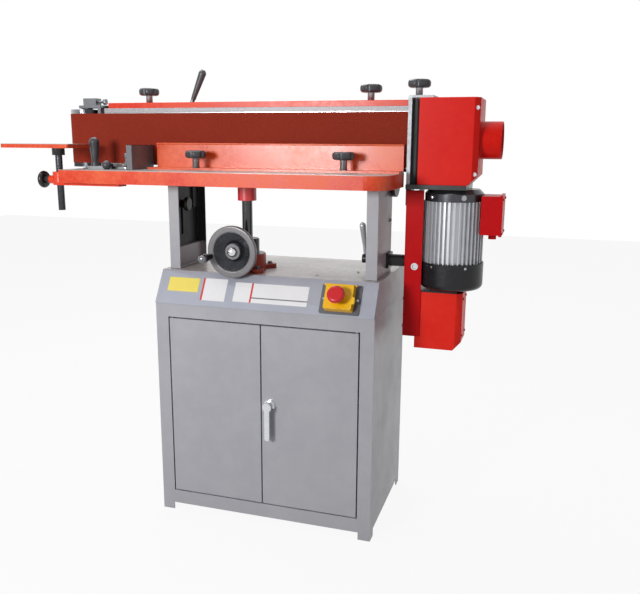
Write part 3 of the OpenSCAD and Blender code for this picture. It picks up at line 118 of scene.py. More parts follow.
def addStudio(s):
    world = bpy.data.worlds.new("plainStudio")
    scene.world = world
    world.use_nodes = True
    tree = world.node_tree
    tree.nodes.clear()
    room, white = (put(tree, "ShaderNodeBackground", None, {"Color": (1, 1, 1, 1), "Strength": strength})
                   for strength in (s["surround"], 1.0))
    mix = put(tree, "ShaderNodeMixShader", None, None,
              {"Fac": lightPathMask(tree), 1: room.outputs[0], 2: white.outputs[0]})
    put(tree, "ShaderNodeOutputWorld", None, None, {"Surface": mix.outputs[0]})
    for name, lamp in s["lamps"].items():
        data = bpy.data.lights.new(name, "AREA")
        data.shape = "SQUARE"
        data.size = lamp["size"]
        data.energy = lamp["watts"]
        thing = bpy.data.objects.new(name, data)
        scene.collection.objects.link(thing)
        thing.location = lamp["at"]
        toward = Vector(lamp["aim"]) - Vector(lamp["at"])
        thing.rotation_euler = toward.to_track_quat("-Z", "Y").to_euler()
    half = s["floorSize"] / 2
    mesh = bpy.data.meshes.new("floor")
    spots = [(-half, -half, 0), (half, -half, 0), (half, half, 0), (-half, half, 0)]
    mesh.from_pydata(spots, [], [(0, 1, 2, 3)])
    floor = bpy.data.objects.new("floor", mesh)
    scene.collection.objects.link(floor)
    paper = bpy.data.materials.new("floorPaper")
    paper.use_nodes = True
    tree = paper.node_tree
    tree.nodes.clear()
    matte = put(tree, "ShaderNodeBsdfDiffuse", None, {"Color": (s["floorTone"],) * 3 + (1,)})
    glow = put(tree, "ShaderNodeEmission", None, {"Strength": 1.0})
    share = number(tree, "MULTIPLY", lightPathMask(tree), s["floorGlow"])
    mix = put(tree, "ShaderNodeMixShader", None, None,
              {"Fac": share, 1: matte.outputs[0], 2: glow.outputs[0]})
    put(tree, "ShaderNodeOutputMaterial", None, None, {"Surface": mix.outputs[0]})
    mesh.materials.append(paper)


addCamera(view)
addStudio(studio)
scene.view_settings.view_transform = "Standard"
print("camera and studio in place")


# shader groups shared by the finishes
def tone(red, green, blue):
    def straight(c):
        c = c / 255
        return c / 12.92 if c <= 0.04045 else ((c + 0.055) / 1.055) ** 2.4
    return (straight(red), straight(green), straight(blue), 1.0)


def newGroup(name, takes, gives, treeKind="ShaderNodeTree"):
    tree = bpy.data.node_groups.new(name, treeKind)
    for label, kind, value in takes:
        socket = tree.interface.new_socket(name=label, in_out="INPUT", socket_type=kind)
        if value is not None:
            socket.default_value = value
    for label, kind in gives:
        tree.interface.new_socket(name=label, in_out="OUTPUT", socket_type=kind)
    return tree, tree.nodes.new("NodeGroupInput").outputs, tree.nodes.new("NodeGroupOutput").inputs


def blendTones(tree, share, a, b):
    made = put(tree, "ShaderNodeMix", {"data_type": "RGBA"})
    for slot, value in ((0, share), (6, a), (7, b)):
        feed(tree, made.inputs[slot], value)
    return made.outputs[2]


def noiseAt(tree, vector, scale, detail=4.0, rough=0.55):
    made = put(tree, "ShaderNodeTexNoise", None, {"Detail": detail, "Roughness": rough}, {"Vector": vector})
    feed(tree, made.inputs["Scale"], scale)
    return made.outputs["Fac"]


def spread(tree, value, low, high):
    made = put(tree, "ShaderNodeMapRange", {"interpolation_type": "SMOOTHSTEP"},
               {"From Min": low, "From Max": high}, {"Value": value})
    return made.outputs["Result"]


# uneven colour in patches, fine grain, changing gloss, pale dust on what faces up
skinLook = {"broad": (0.36, 0.68), "broadShare": 0.65, "fine": (0.40, 0.66), "fineShare": 0.35, "finer": 9.0,
            "upFacing": (0.5, 0.95), "dustScale": 14.0, "dustPatch": (0.30, 0.72),
            "dustTone": (0.62, 0.60, 0.57, 1), "dustDull": 0.25, "grainHeight": 0.0006}


def buildSkin(s):
    tree, take, give = newGroup("workshopSkin", [
        ("Body", "NodeSocketColor", (0.5, 0.5, 0.5, 1)), ("Patch", "NodeSocketColor", (0.6, 0.6, 0.6, 1)),
        ("Patch Scale", "NodeSocketFloat", 4.0), ("Patch Share", "NodeSocketFloat", 0.3),
        ("Stretch", "NodeSocketVector", (1.0, 1.0, 1.0)),
        ("Grain Scale", "NodeSocketFloat", 400.0), ("Grain Depth", "NodeSocketFloat", 0.1),
        ("Gloss", "NodeSocketFloat", 0.4), ("Gloss Swing", "NodeSocketFloat", 0.1),
        ("Dust", "NodeSocketFloat", 0.0)],
        [("Color", "NodeSocketColor"), ("Roughness", "NodeSocketFloat"), ("Normal", "NodeSocketVector")])
    place = put(tree, "ShaderNodeTexCoord").outputs["Object"]
    drawn = put(tree, "ShaderNodeVectorMath", {"operation": "MULTIPLY"}, None,
                {0: place, 1: take["Stretch"]}).outputs["Vector"]
    broad = spread(tree, noiseAt(tree, drawn, take["Patch Scale"], 5.0, 0.62), *s["broad"])
    fineScale = number(tree, "MULTIPLY", take["Patch Scale"], s["finer"])
    fine = spread(tree, noiseAt(tree, drawn, fineScale, 3.0), *s["fine"])
    both = number(tree, "ADD", number(tree, "MULTIPLY", broad, s["broadShare"]),
                  number(tree, "MULTIPLY", fine, s["fineShare"]))
    share = number(tree, "MULTIPLY", both, take["Patch Share"], True)
    colour = blendTones(tree, share, take["Body"], take["Patch"])
    facing = put(tree, "ShaderNodeSeparateXYZ", None, None,
                 {0: put(tree, "ShaderNodeNewGeometry").outputs["Normal"]}).outputs["Z"]
    top = number(tree, "MULTIPLY", spread(tree, facing, *s["upFacing"]), take["Dust"])
    settled = spread(tree, noiseAt(tree, place, s["dustScale"], 4.0), *s["dustPatch"])
    film = number(tree, "MULTIPLY", top, settled, True)
    tree.links.new(blendTones(tree, film, colour, s["dustTone"]), give["Color"])
    swing = number(tree, "MULTIPLY", number(tree, "SUBTRACT", both, 0.5), take["Gloss Swing"])
    tree.links.new(number(tree, "ADD", number(tree, "ADD", take["Gloss"], swing),
                          number(tree, "MULTIPLY", film, s["dustDull"]), True), give["Roughness"])
    grain = noiseAt(tree, drawn, take["Grain Scale"], 2.0)
    bump = put(tree, "ShaderNodeBump", None, {"Distance": s["grainHeight"]},
               {"Height": grain, "Strength": take["Grain Depth"]})
    tree.links.new(bump.outputs["Normal"], give["Normal"])
    return tree


def stepUp(tree, value, level, edge):
    past = number(tree, "SUBTRACT", value, level)
    return number(tree, "ADD", number(tree, "DIVIDE", past, edge), 0.5, True)


def buildZone():
    # 0 before a level along a direction, 1 after it
    tree, take, give = newGroup("zoneMask", [
        ("Direction", "NodeSocketVector", (0.0, 0.0, 1.0)), ("Level", "NodeSocketFloat", 0.0),
        ("Edge", "NodeSocketFloat", 0.0006)], [("Mask", "NodeSocketFloat")])
    place = put(tree, "ShaderNodeTexCoord").outputs["Object"]
    along = put(tree, "ShaderNodeVectorMath", {"operation": "DOT_PRODUCT"}, None,
                {0: place, 1: take["Direction"]}).outputs["Value"]
    tree.links.new(stepUp(tree, along, take["Level"], take["Edge"]), give["Mask"])
    return tree


def buildRing():
    # 0 nearer to an axis than a radius, 1 further out
    tree, take, give = newGroup("ringMask", [
        ("Centre", "NodeSocketVector", (0.0, 0.0, 0.0)), ("Flatten", "NodeSocketVector", (1.0, 1.0, 1.0)),
        ("Radius", "NodeSocketFloat", 0.05), ("Edge", "NodeSocketFloat", 0.0008)],
        [("Mask", "NodeSocketFloat")])
    place = put(tree, "ShaderNodeTexCoord").outputs["Object"]
    away = put(tree, "ShaderNodeVectorMath", {"operation": "SUBTRACT"}, None,
               {0: place, 1: take["Centre"]}).outputs["Vector"]
    flat = put(tree, "ShaderNodeVectorMath", {"operation": "MULTIPLY"}, None,
               {0: away, 1: take["Flatten"]}).outputs["Vector"]
    reach = put(tree, "ShaderNodeVectorMath", {"operation": "LENGTH"}, None, {0: flat}).outputs["Value"]
    tree.links.new(stepUp(tree, reach, take["Radius"], take["Edge"]), give["Mask"])
    return tree


skinGroup, zoneGroup, ringGroup = buildSkin(skinLook), buildZone(), buildRing()

# finishes: body and patch tones, then how each is broken up, where it isn't the usual
usual = {"share": 0.5, "swing": 0.2, "metal": 0.0, "spec": 0.5, "dust": 0.0, "stretch": (1, 1, 1)}
finishes = {
    "greyPaint": {"body": (158, 158, 164), "patch": (172, 172, 177), "scale": 3.0, "share": 0.55,
        "grain": (520, 0.10), "gloss": 0.36, "swing": 0.16, "dust": 0.12, "spec": 0.45},
    "consoleTop": {"body": (178, 176, 175), "patch": (150, 148, 148), "scale": 6.0, "share": 0.6,
        "stretch": (0.6, 2, 1), "grain": (520, 0.06), "gloss": 0.34, "dust": 0.1},
    "panelPaint": {"body": (160, 164, 176), "patch": (172, 176, 188), "scale": 3.0,
        "grain": (520, 0.08), "gloss": 0.34, "swing": 0.12},
    "redPaint": {"body": (214, 18, 10), "patch": (226, 40, 24), "scale": 7.0,
        "grain": (420, 0.16), "gloss": 0.40, "swing": 0.16, "dust": 0.03, "spec": 0.15},
    "fencePaint": {"body": (206, 66, 18), "patch": (222, 108, 48), "scale": 8.0, "share": 0.60,
        "grain": (420, 0.12), "gloss": 0.31, "swing": 0.12, "dust": 0.02, "spec": 0.70},
    "tablePaint": {"body": (208, 52, 22), "patch": (228, 106, 58), "scale": 11.0, "share": 0.70,
        "grain": (260, 0.32), "gloss": 0.40, "swing": 0.18, "dust": 0.04, "spec": 0.40},
    "guardPaint": {"body": (216, 48, 22), "patch": (230, 86, 46), "scale": 8.0, "share": 0.55,
        "grain": (420, 0.14), "gloss": 0.36, "swing": 0.14, "dust": 0.03, "spec": 0.35},
    # a lighter copy of the red paint for the oscillation box: painted light
    "litBoxRed": {"body": (228, 34, 22), "patch": (236, 54, 36), "scale": 6.0,
        "grain": (420, 0.14), "gloss": 0.40, "swing": 0.14, "dust": 0.03, "spec": 0.16},
    "deepRed": {"body": (188, 2, 10), "patch": (204, 10, 16), "scale": 4.0,
        "grain": (480, 0.10), "gloss": 0.36, "swing": 0.12, "dust": 0.03, "spec": 0.12},
    "castRed": {"body": (178, 68, 48), "patch": (142, 50, 38), "scale": 22.0, "share": 0.6,
        "grain": (240, 0.55), "gloss": 0.46, "dust": 0.08, "spec": 0.35},
    "collarRed": {"body": (208, 38, 46), "patch": (184, 28, 38), "scale": 16.0,
        "grain": (300, 0.2), "gloss": 0.36, "swing": 0.15, "spec": 0.3},
    "steel": {"body": (168, 170, 173), "patch": (128, 130, 134), "scale": 9.0, "share": 0.4,
        "metal": 1.0, "grain": (700, 0.10), "gloss": 0.30},
    "studSteel": {"body": (128, 129, 133), "patch": (92, 93, 97), "scale": 30.0,
        "metal": 0.9, "grain": (500, 0.10), "gloss": 0.26},
    "stemSteel": {"body": (150, 151, 155), "patch": (118, 119, 123), "scale": 26.0, "share": 0.4,
        "metal": 0.9, "grain": (500, 0.06), "gloss": 0.22, "swing": 0.15},
    "workedSteel": {"body": (134, 136, 140), "patch": (84, 85, 89), "scale": 55.0, "share": 0.7,
        "metal": 0.8, "grain": (380, 0.3), "gloss": 0.34},
    # dark steel of the extension rod and column-side bolts, also laid on the idler drum's right side as
    # painted shade
    "darkSteelAndShade": {"body": (62, 63, 67), "patch": (88, 89, 94), "scale": 12.0, "share": 0.4,
        "metal": 0.95, "grain": (500, 0.03), "gloss": 0.17, "swing": 0.1},
    "screwBlack": {"body": (20, 21, 24), "patch": (32, 33, 36), "scale": 12.0, "share": 0.4,
        "grain": (500, 0.03), "gloss": 0.17, "swing": 0.08, "spec": 0.8},
    "machinedTop": {"body": (166, 162, 160), "patch": (128, 125, 124), "scale": 5.0,
        "metal": 0.5, "stretch": (1, 9, 1), "grain": (240, 0.12), "gloss": 0.40},
    "chrome": {"body": (214, 216, 220), "patch": (176, 178, 184), "scale": 14.0, "share": 0.3,
        "metal": 1.0, "grain": (300, 0.03), "gloss": 0.12, "swing": 0.08},
    "drumSteel": {"body": (176, 178, 182), "patch": (140, 142, 147), "scale": 10.0, "share": 0.4,
        "metal": 1.0, "stretch": (1, 1, 14), "grain": (500, 0.05), "gloss": 0.20, "swing": 0.1},
    "stripAluminium": {"body": (138, 137, 141), "patch": (198, 196, 198), "scale": 240.0, "share": 0.8,
        "metal": 0.2, "grain": (420, 0.5), "gloss": 0.52, "spec": 0.4},
    "frameAluminium": {"body": (166, 169, 173), "patch": (138, 141, 146), "scale": 14.0,
        "metal": 0.35, "grain": (520, 0.25), "gloss": 0.42},
    "finAluminium": {"body": (206, 208, 212), "patch": (186, 188, 192), "scale": 6.0,
        "metal": 0.4, "grain": (420, 0.15), "gloss": 0.36, "swing": 0.12},
    "blackPlastic": {"body": (22, 22, 24), "patch": (36, 36, 39), "scale": 26.0, "share": 0.4,
        "grain": (900, 0.12), "gloss": 0.34, "swing": 0.15, "spec": 0.30},
    "greyPlastic": {"body": (58, 58, 62), "patch": (84, 84, 88), "scale": 34.0,
        "grain": (800, 0.20), "gloss": 0.34, "swing": 0.15, "spec": 0.35},
    "blackPaint": {"body": (24, 24, 27), "patch": (40, 40, 44), "scale": 9.0,
        "grain": (420, 0.12), "gloss": 0.34, "swing": 0.18, "dust": 0.03, "spec": 0.32},
    "bellPaint": {"body": (66, 66, 71), "patch": (88, 88, 93), "scale": 10.0, "share": 0.4,
        "metal": 0.75, "grain": (300, 0.06), "gloss": 0.24, "swing": 0.08},
    "rimGrey": {"body": (118, 116, 118), "patch": (94, 93, 96), "scale": 26.0,
        "metal": 0.25, "grain": (300, 0.3), "gloss": 0.36, "spec": 0.4},
    "castGrey": {"body": (112, 112, 116), "patch": (84, 84, 88), "scale": 30.0, "share": 0.6,
        "metal": 0.2, "grain": (260, 0.5), "gloss": 0.42, "spec": 0.35},
    "darkCast": {"body": (44, 45, 50), "patch": (70, 71, 77), "scale": 24.0, "share": 0.6,
        "metal": 0.65, "grain": (220, 0.25), "gloss": 0.25, "swing": 0.12, "spec": 0.4},
    "headFacing": {"body": (72, 58, 56), "patch": (92, 74, 70), "scale": 30.0,
        "stretch": (1, 1, 5), "grain": (300, 0.3), "gloss": 0.5, "swing": 0.15, "spec": 0.3},
    "zincLever": {"body": (196, 198, 202), "patch": (158, 160, 164), "scale": 40.0,
        "metal": 0.3, "grain": (420, 0.3), "gloss": 0.36},
    "rubber": {"body": (38, 38, 40), "patch": (54, 53, 53), "scale": 20.0,
        "grain": (600, 0.5), "gloss": 0.7, "swing": 0.1, "spec": 0.3},
    "yellowPlastic": {"body": (232, 176, 14), "patch": (240, 196, 40), "scale": 18.0, "share": 0.4,
        "grain": (700, 0.08), "gloss": 0.26, "swing": 0.1, "spec": 0.4},
    "redPlastic": {"body": (190, 12, 24), "patch": (206, 30, 40), "scale": 30.0, "share": 0.4,
        "grain": (700, 0.06), "gloss": 0.24, "swing": 0.1, "spec": 0.4},
    "greenPlastic": {"body": (28, 132, 58), "patch": (44, 150, 74), "scale": 30.0, "share": 0.4,
        "grain": (700, 0.06), "gloss": 0.26, "swing": 0.1, "spec": 0.4},
    "plateGrey": {"body": (88, 89, 96), "patch": (104, 105, 112), "scale": 12.0,
        "grain": (500, 0.1), "gloss": 0.42, "swing": 0.1, "spec": 0.3},
    # dark finish: the table guides' own colour, and painted shade on the left post's inner faces and on the
    # sheet beside the dust hood
    "darkAndPaintedShade": {"body": (30, 32, 33), "patch": (46, 47, 49), "scale": 6.0,
        "grain": (420, 0.2), "gloss": 0.5, "swing": 0.15, "spec": 0.25},
}
labelTones = {
    "labelWhite": ((226, 226, 228), (214, 214, 217)),
    "labelYellow": ((232, 214, 104), (224, 204, 92)),
    "labelRed": ((206, 58, 46), (194, 48, 40)),
    "labelGrey": ((118, 119, 124), (108, 109, 114)),
}
for name, (body, patch) in labelTones.items():
    finishes[name] = {"body": body, "patch": patch, "scale": 20.0, "share": 0.4,
                      "grain": (600, 0.04), "gloss": 0.34, "swing": 0.1, "spec": 0.35}
finishes = {name: {**usual, **given} for name, given in finishes.items()}


def addSkin(tree, name):
    s = finishes[name]
    skin = put(tree, "ShaderNodeGroup", {"node_tree": skinGroup}, {
        "Body": tone(*s["body"]), "Patch": tone(*s["patch"]),
        "Patch Scale": s["scale"], "Patch Share": s["share"], "Stretch": s["stretch"],
        "Grain Scale": s["grain"][0], "Grain Depth": s["grain"][1],
        "Gloss": s["gloss"], "Gloss Swing": s["swing"], "Dust": s["dust"]})
    return skin.outputs


def newMaterial(name):
    material = bpy.data.materials.new(name)
    material.use_nodes = True
    tree = material.node_tree
    return material, tree, tree.nodes["Principled BSDF"]


def plainFinish(name):
    s = finishes[name]
    material, tree, shader = newMaterial(name)
    skin = addSkin(tree, name)
    tree.links.new(skin["Color"], shader.inputs["Base Color"])
    tree.links.new(skin["Roughness"], shader.inputs["Roughness"])
    tree.links.new(skin["Normal"], shader.inputs["Normal"])
    shader.inputs["Metallic"].default_value = s["metal"]
    shader.inputs["Specular IOR Level"].default_value = s["spec"]
    return material


def zone(direction, level, edge=0.0006):
    return {"group": zoneGroup, "values": {"Direction": direction, "Level": level, "Edge": edge}}


def ring(centre, flatten, radius, edge=0.0008):
    values = {"Centre": centre, "Flatten": flatten, "Radius": radius, "Edge": edge}
    return {"group": ringGroup, "values": values}


def zonedFinish(name, first, steps):
    # first finish, then each (mask, finish) laid over it in turn
    material, tree, shader = newMaterial(name)
    skin = addSkin(tree, first)
    colour, gloss, normal = skin["Color"], skin["Roughness"], skin["Normal"]
    metals = {finishes[over]["metal"] for over in [first] + [step[1] for step in steps]}
    metal = finishes[first]["metal"]
    shader.inputs["Metallic"].default_value = metal
    for mask, over in steps:
        share = put(tree, "ShaderNodeGroup", {"node_tree": mask["group"]}, mask["values"]).outputs["Mask"]
        skin = addSkin(tree, over)
        colour = blendTones(tree, share, colour, skin["Color"])
        kept = number(tree, "MULTIPLY", number(tree, "SUBTRACT", 1.0, share), gloss)
        gloss = number(tree, "ADD", kept, number(tree, "MULTIPLY", share, skin["Roughness"]))
        if len(metals) > 1:
            stay = number(tree, "MULTIPLY", number(tree, "SUBTRACT", 1.0, share), metal)
            gain = number(tree, "MULTIPLY", share, finishes[over]["metal"])
            metal = number(tree, "ADD", stay, gain)
    tree.links.new(colour, shader.inputs["Base Color"])
    tree.links.new(gloss, shader.inputs["Roughness"])
    if len(metals) > 1:
        tree.links.new(metal, shader.inputs["Metallic"])
    tree.links.new(normal, shader.inputs["Normal"])
    shader.inputs["Specular IOR Level"].default_value = finishes[first]["spec"]
    return material


def beltFinish(s):
    # closed coat of grit on a brown-red backing, with the slanted splice on the back run
    material, tree, shader = newMaterial("gritBelt")
    place = put(tree, "ShaderNodeTexCoord").outputs["Object"]
    grit = put(tree, "ShaderNodeTexVoronoi", {"feature": "F1"}, {"Scale": s["gritScale"]}, {"Vector": place})
    speck = spread(tree, grit.outputs["Distance"], *s["speck"])
    patch = spread(tree, noiseAt(tree, place, s["patchScale"], 5.0, 0.6), *s["patch"])
    spots = spread(tree, noiseAt(tree, place, s["spotScale"], 2.0), *s["spot"])
    colour = blendTones(tree, speck, tone(*s["bright"]), tone(*s["deep"]))
    colour = blendTones(tree, number(tree, "MULTIPLY", patch, s["wornShare"]), colour, tone(*s["worn"]))
    colour = blendTones(tree, number(tree, "MULTIPLY", spots, s["spotShare"]), colour, tone(*s["dark"]))
    slant = put(tree, "ShaderNodeVectorMath", {"operation": "DOT_PRODUCT"}, {1: s["spliceWay"]},
                {0: place}).outputs["Value"]
    near = number(tree, "ABSOLUTE", number(tree, "SUBTRACT", slant, s["splice"]))
    behind = put(tree, "ShaderNodeSeparateXYZ", None, None, {0: place}).outputs["Y"]
    seam = number(tree, "SUBTRACT", 1.0, spread(tree, near, *s["spliceEdge"]))
    seam = number(tree, "MULTIPLY", seam, number(tree, "GREATER_THAN", behind, s["backRun"]))
    colour = blendTones(tree, number(tree, "MULTIPLY", seam, s["spliceShare"]), colour, tone(*s["dark"]))
    tree.links.new(colour, shader.inputs["Base Color"])
    dull = number(tree, "ADD", s["dull"], number(tree, "MULTIPLY", patch, s["dullSwing"]))
    tree.links.new(dull, shader.inputs["Roughness"])
    bump = put(tree, "ShaderNodeBump", None, {"Distance": s["gritHeight"], "Strength": s["gritDepth"]},
               {"Height": grit.outputs["Distance"]})
    tree.links.new(bump.outputs["Normal"], shader.inputs["Normal"])
    shader.inputs["Specular IOR Level"].default_value = s["spec"]
    return material


belt = {"gritScale": 620.0, "bright": (154, 56, 36), "deep": (128, 38, 24), "worn": (146, 54, 36),
        "dark": (98, 32, 22), "speck": (0.15, 0.62), "patchScale": 7.0, "patch": (0.35, 0.70),
        "wornShare": 0.35, "spotScale": 260.0, "spot": (0.52, 0.66), "spotShare": 0.30,
        "splice": 0.62, "backRun": 0.05, "spliceWay": (0.83, 0.0, 0.56),
        "spliceEdge": (0.0010, 0.0022), "spliceShare": 0.35, "dull": 0.78, "dullSwing": 0.1,
        "gritHeight": 0.0005, "gritDepth": 0.55, "spec": 0.12}
material = {name: plainFinish(name) for name in finishes}
material["gritBelt"] = beltFinish(belt)
print("finishes ready,", len(material))

# what each solid is finished in
dress = {
    "greyPaint": ["cabinet_body", "left_door", "right_door", "right_post", "head_beam"],
    "redPaint": ["dust_hood"],
    "guardPaint": ["belt_guard", "extension_bracket"],
    "litBoxRed": ["oscillation_box"],
    "fencePaint": ["fence"],
    "deepRed": ["motor_column", "terminal_box"],
    "steel": ["door_pins", "pivot_pins", "jack_nut", "mitre_bar", "guide_rods", "oscillation_cam",
              "cam_follower", "platen", "drive_shaft"],
    "workedSteel": ["idler_carriage"],
    "chrome": ["door_handle", "handwheel_shaft"],
    "stripAluminium": ["platen_strip"],
    "finAluminium": ["motor_housing"],
    "blackPlastic": ["table_lock_knob"],
    "greyPlastic": ["mitre_handle"],
    "blackPaint": ["fan_cover", "lock_bracket", "tilt_frame", "oscillation_gear"],
    "bellPaint": ["motor_bell"],
    "darkAndPaintedShade": ["table_guides"],
    "rubber": ["drive_drum"],
    "gritBelt": ["sanding_belt"],
    "yellowPlastic": ["switch_flap"],
    "redPlastic": ["stop_mushroom"],
    "greenPlastic": ["start_button"],
    "darkSteelAndShade": ["extension_rod"],
}


def coat(name, made):
    solids[name].data.materials.clear()
    solids[name].data.materials.append(made)


for finishName, names in dress.items():
    for name in names:
        coat(name, material[finishName])


def corner(name):
    low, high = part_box(name)
    low, high = Vector(low), Vector(high)
    return low, high, (low + high) / 2


def dressInZones(name, first, steps):
    coat(name, zonedFinish(name + "Finish", first, steps))


# solids with more than one finish, split where the real one changes, and on the left post and the idler drum
# where painted shade is laid on: depths, radii and places
split = {
    "machined": 0.0012, "plateThick": 0.0122, "collarFoot": 0.0838, "knobThick": 0.0224, "wheelHub": 0.0230,
    "wheelRim": 0.0190, "jackFlange": 0.0484, "gripCap": 0.012, "gripBlur": 0.002, "leverFoot": 0.030,
    "tensionGrip": 0.090, "knobStud": 0.0075, "frameFoot": 0.0124, "idlerCap": 0.014, "idlerShade": 0.004,
    "idlerBlur": 0.040, "postSheet": 0.0030, "postFoot": 0.0604, "postFront": 0.0046, "postBack": 0.0466,
    "consoleTop": 0.7342, "panelSkin": 0.0012, "switchPlate": 0.0033,
}
upward, downward, rightward, leftward = (0, 0, 1), (0, 0, -1), (1, 0, 0), (-1, 0, 0)
frontward, backward = (0, -1, 0), (0, 1, 0)
tableHigh = corner("table")[1]
dressInZones("table", "tablePaint", [(zone(upward, tableHigh.z - split["machined"]), "machinedTop")])
plateHigh = corner("extension_table")[1]
dressInZones("extension_table", "tablePaint", [
    (zone(upward, plateHigh.z - split["machined"]), "machinedTop"),
    (zone(downward, split["plateThick"] - plateHigh.z), "blackPlastic")])
dressInZones("lift_screw", "screwBlack", [(zone(upward, tableHigh.z - split["collarFoot"]), "collarRed")])
starKnobs = ["fence_knob_left", "fence_knob_right", "guard_knob_left", "guard_knob_right", "hood_knob"]
for name in starKnobs:
    knobTop = corner(name)[1].z
    dressInZones(name, "greyPlastic", [(zone(downward, split["knobThick"] - knobTop), "stemSteel")])
wheelHigh, wheelMid = corner("handwheel")[1:]
wheelAxis = (wheelMid.x, 0, wheelMid.z)
rimStart = wheelHigh.x - wheelMid.x - split["wheelRim"]
dressInZones("handwheel", "rimGrey", [(ring(wheelAxis, (1, 0, 1), split["wheelHub"]), "darkCast"),
                                      (ring(wheelAxis, (1, 0, 1), rimStart), "rimGrey")])
jackLow = corner("jack_base")[0]
dressInZones("jack_base", "castRed", [(zone(upward, jackLow.z + split["jackFlange"]), "blackPaint")])
gripEnd = -corner("handwheel_grip")[0].y - split["gripCap"]
dressInZones("handwheel_grip", "blackPlastic", [(zone(frontward, gripEnd, split["gripBlur"]), "studSteel")])
leverFoot = corner("tilt_lock_lever")[0].z + split["leverFoot"]
dressInZones("tilt_lock_lever", "blackPaint", [(zone(upward, leverFoot), "zincLever")])
tensionGrip = corner("tension_lever")[1].z - split["tensionGrip"]
dressInZones("tension_lever", "studSteel", [(zone(upward, tensionGrip), "greyPlastic")])
studAxis = corner("extension_knob")[2]
dressInZones("extension_knob", "studSteel", [(ring(studAxis, (0, 1, 1), split["knobStud"]), "blackPlastic")])
headLow, headHigh = corner("mitre_head")[:2]
dressInZones("mitre_head", "castGrey", [(zone(frontward, -headLow.y - split["machined"]), "headFacing"),
                                        (zone(upward, headHigh.z - split["machined"]), "darkCast")])
frameLow = corner("end_frame")[0]
frameFoot = -frameLow.z - split["frameFoot"]
dressInZones("end_frame", "frameAluminium", [(zone(downward, frameFoot), "blackPaint")])
idlerHigh, idlerMid = corner("idler_drum")[1:]
# the drum's right side fades softly into the dark steel finish: painted shade
dressInZones("idler_drum", "rubber", [
    (zone(upward, idlerHigh.z - split["idlerCap"]), "drumSteel"),
    (zone(rightward, idlerMid.x - split["idlerShade"], split["idlerBlur"]), "darkSteelAndShade")])
postLow = corner("left_post")[0]
# the left post's inner faces take the dark finish as painted shade; its foot, front flange and back flange
# stay grey
dressInZones("left_post", "greyPaint", [(zone(rightward, postLow.x + split["postSheet"]), "darkAndPaintedShade"),
                                        (zone(downward, -postLow.z - split["postFoot"]), "greyPaint"),
                                        (zone(frontward, -postLow.y - split["postFront"]), "greyPaint"),
                                        (zone(backward, split["postBack"]), "greyPaint")])
panelUp = Vector((0, 0.053, 0.089)).normalized()
panelOut = Vector((0, -panelUp.z, panelUp.y))
panelFoot = Vector((0, -0.205, 0.646))
panelLevel = panelFoot.dot(panelOut)
slanted = tuple(panelOut)
dressInZones("console", "greyPaint", [(zone(slanted, panelLevel - split["panelSkin"]), "panelPaint"),
                                      (zone(upward, split["consoleTop"]), "consoleTop")])
plateLevel = panelLevel + split["switchPlate"]
dressInZones("switch_housing", "plateGrey", [(zone(slanted, plateLevel), "yellowPlastic")])
print("solids dressed")

# softened edges on sheet metal, castings and plastic
edges = {
    0.0014: ["cabinet_body", "console", "left_post", "right_post", "fence", "belt_guard", "dust_hood",
             "motor_column", "oscillation_box", "terminal_box", "extension_bracket"],
    0.0022: ["left_door", "right_door", "table", "extension_table"],
    0.0020: starKnobs,
    0.0010: ["end_frame", "platen_strip", "tilt_frame", "mitre_head", "mitre_bar", "idler_carriage",
             "lock_bracket", "switch_flap", "switch_housing", "jack_base", "oscillation_gear"],
}
soft = {"join": 0.00002, "segments": 2, "from": 40}


def softenEdges(widths, s):
    for width, names in widths.items():
        for name in names:
            weld = solids[name].modifiers.new("join", "WELD")
            weld.merge_threshold = s["join"]
            bevel = solids[name].modifiers.new("softEdge", "BEVEL")
            bevel.width = width
            bevel.segments = s["segments"]
            bevel.limit_method = "ANGLE"
            bevel.angle_limit = math.radians(s["from"])
            bevel.use_clamp_overlap = True
            bevel.harden_normals = True


softenEdges(edges, soft)
print("edges softened")


# pieces that the solids don't carry
def meshFrom(name, bm):
    mesh = bpy.data.meshes.new(name)
    bmesh.ops.recalc_face_normals(bm, faces=bm.faces)
    for face in bm.faces:
        face.smooth = True
    bm.to_mesh(mesh)
    bm.free()
    return mesh


def addPiece(name, mesh, body):
    piece = bpy.data.objects.new(name, mesh)
    scene.collection.objects.link(piece)
    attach(piece, body)


def newPiece(name, bm, finishName, body, sharp=35):
    mesh = meshFrom(name, bm)
    mesh.set_sharp_from_angle(angle=math.radians(sharp))
    mesh.materials.append(material[finishName])
    addPiece(name, mesh, body)


def fromTree(name, start, tree, values, finishName, body):
    # what a node tree makes on a start mesh, kept as a plain mesh
    holder = bpy.data.objects.new(name + "Start", start)
    scene.collection.objects.link(holder)
    maker = holder.modifiers.new("maker", "NODES")
    maker.node_group = tree
    values = {**values, "Finish": material[finishName]}
    for item in tree.interface.items_tree:
        if item.in_out == "INPUT" and item.name in values:
            maker[item.identifier] = values[item.name]
    holder.update_tag()
    graph = bpy.context.evaluated_depsgraph_get()
    mesh = bpy.data.meshes.new_from_object(holder.evaluated_get(graph))
    bpy.data.objects.remove(holder)
    mesh.name = name
    if not mesh.materials:
        mesh.materials.append(material[finishName])
    addPiece(name, mesh, body)


def bridge(bm, low, high):
    # wall of quads between two closed loops
    for i in range(len(low)):
        k = (i + 1) % len(low)
        bm.faces.new((low[i], low[k], high[k], high[i]))


def roundedSpots(across, up, radius, turns):
    # outline of a rectangle with round corners
    (left, right), (low, high) = across, up
    middles = ((right - radius, high - radius), (left + radius, high - radius),
               (left + radius, low + radius), (right - radius, low + radius))
    spots = []
    for quarter, (x, u) in enumerate(middles):
        for turn in turns:
            angle = math.radians(90 * quarter + turn)
            spots.append((x + radius * math.cos(angle), u + radius * math.sin(angle)))
    return spots


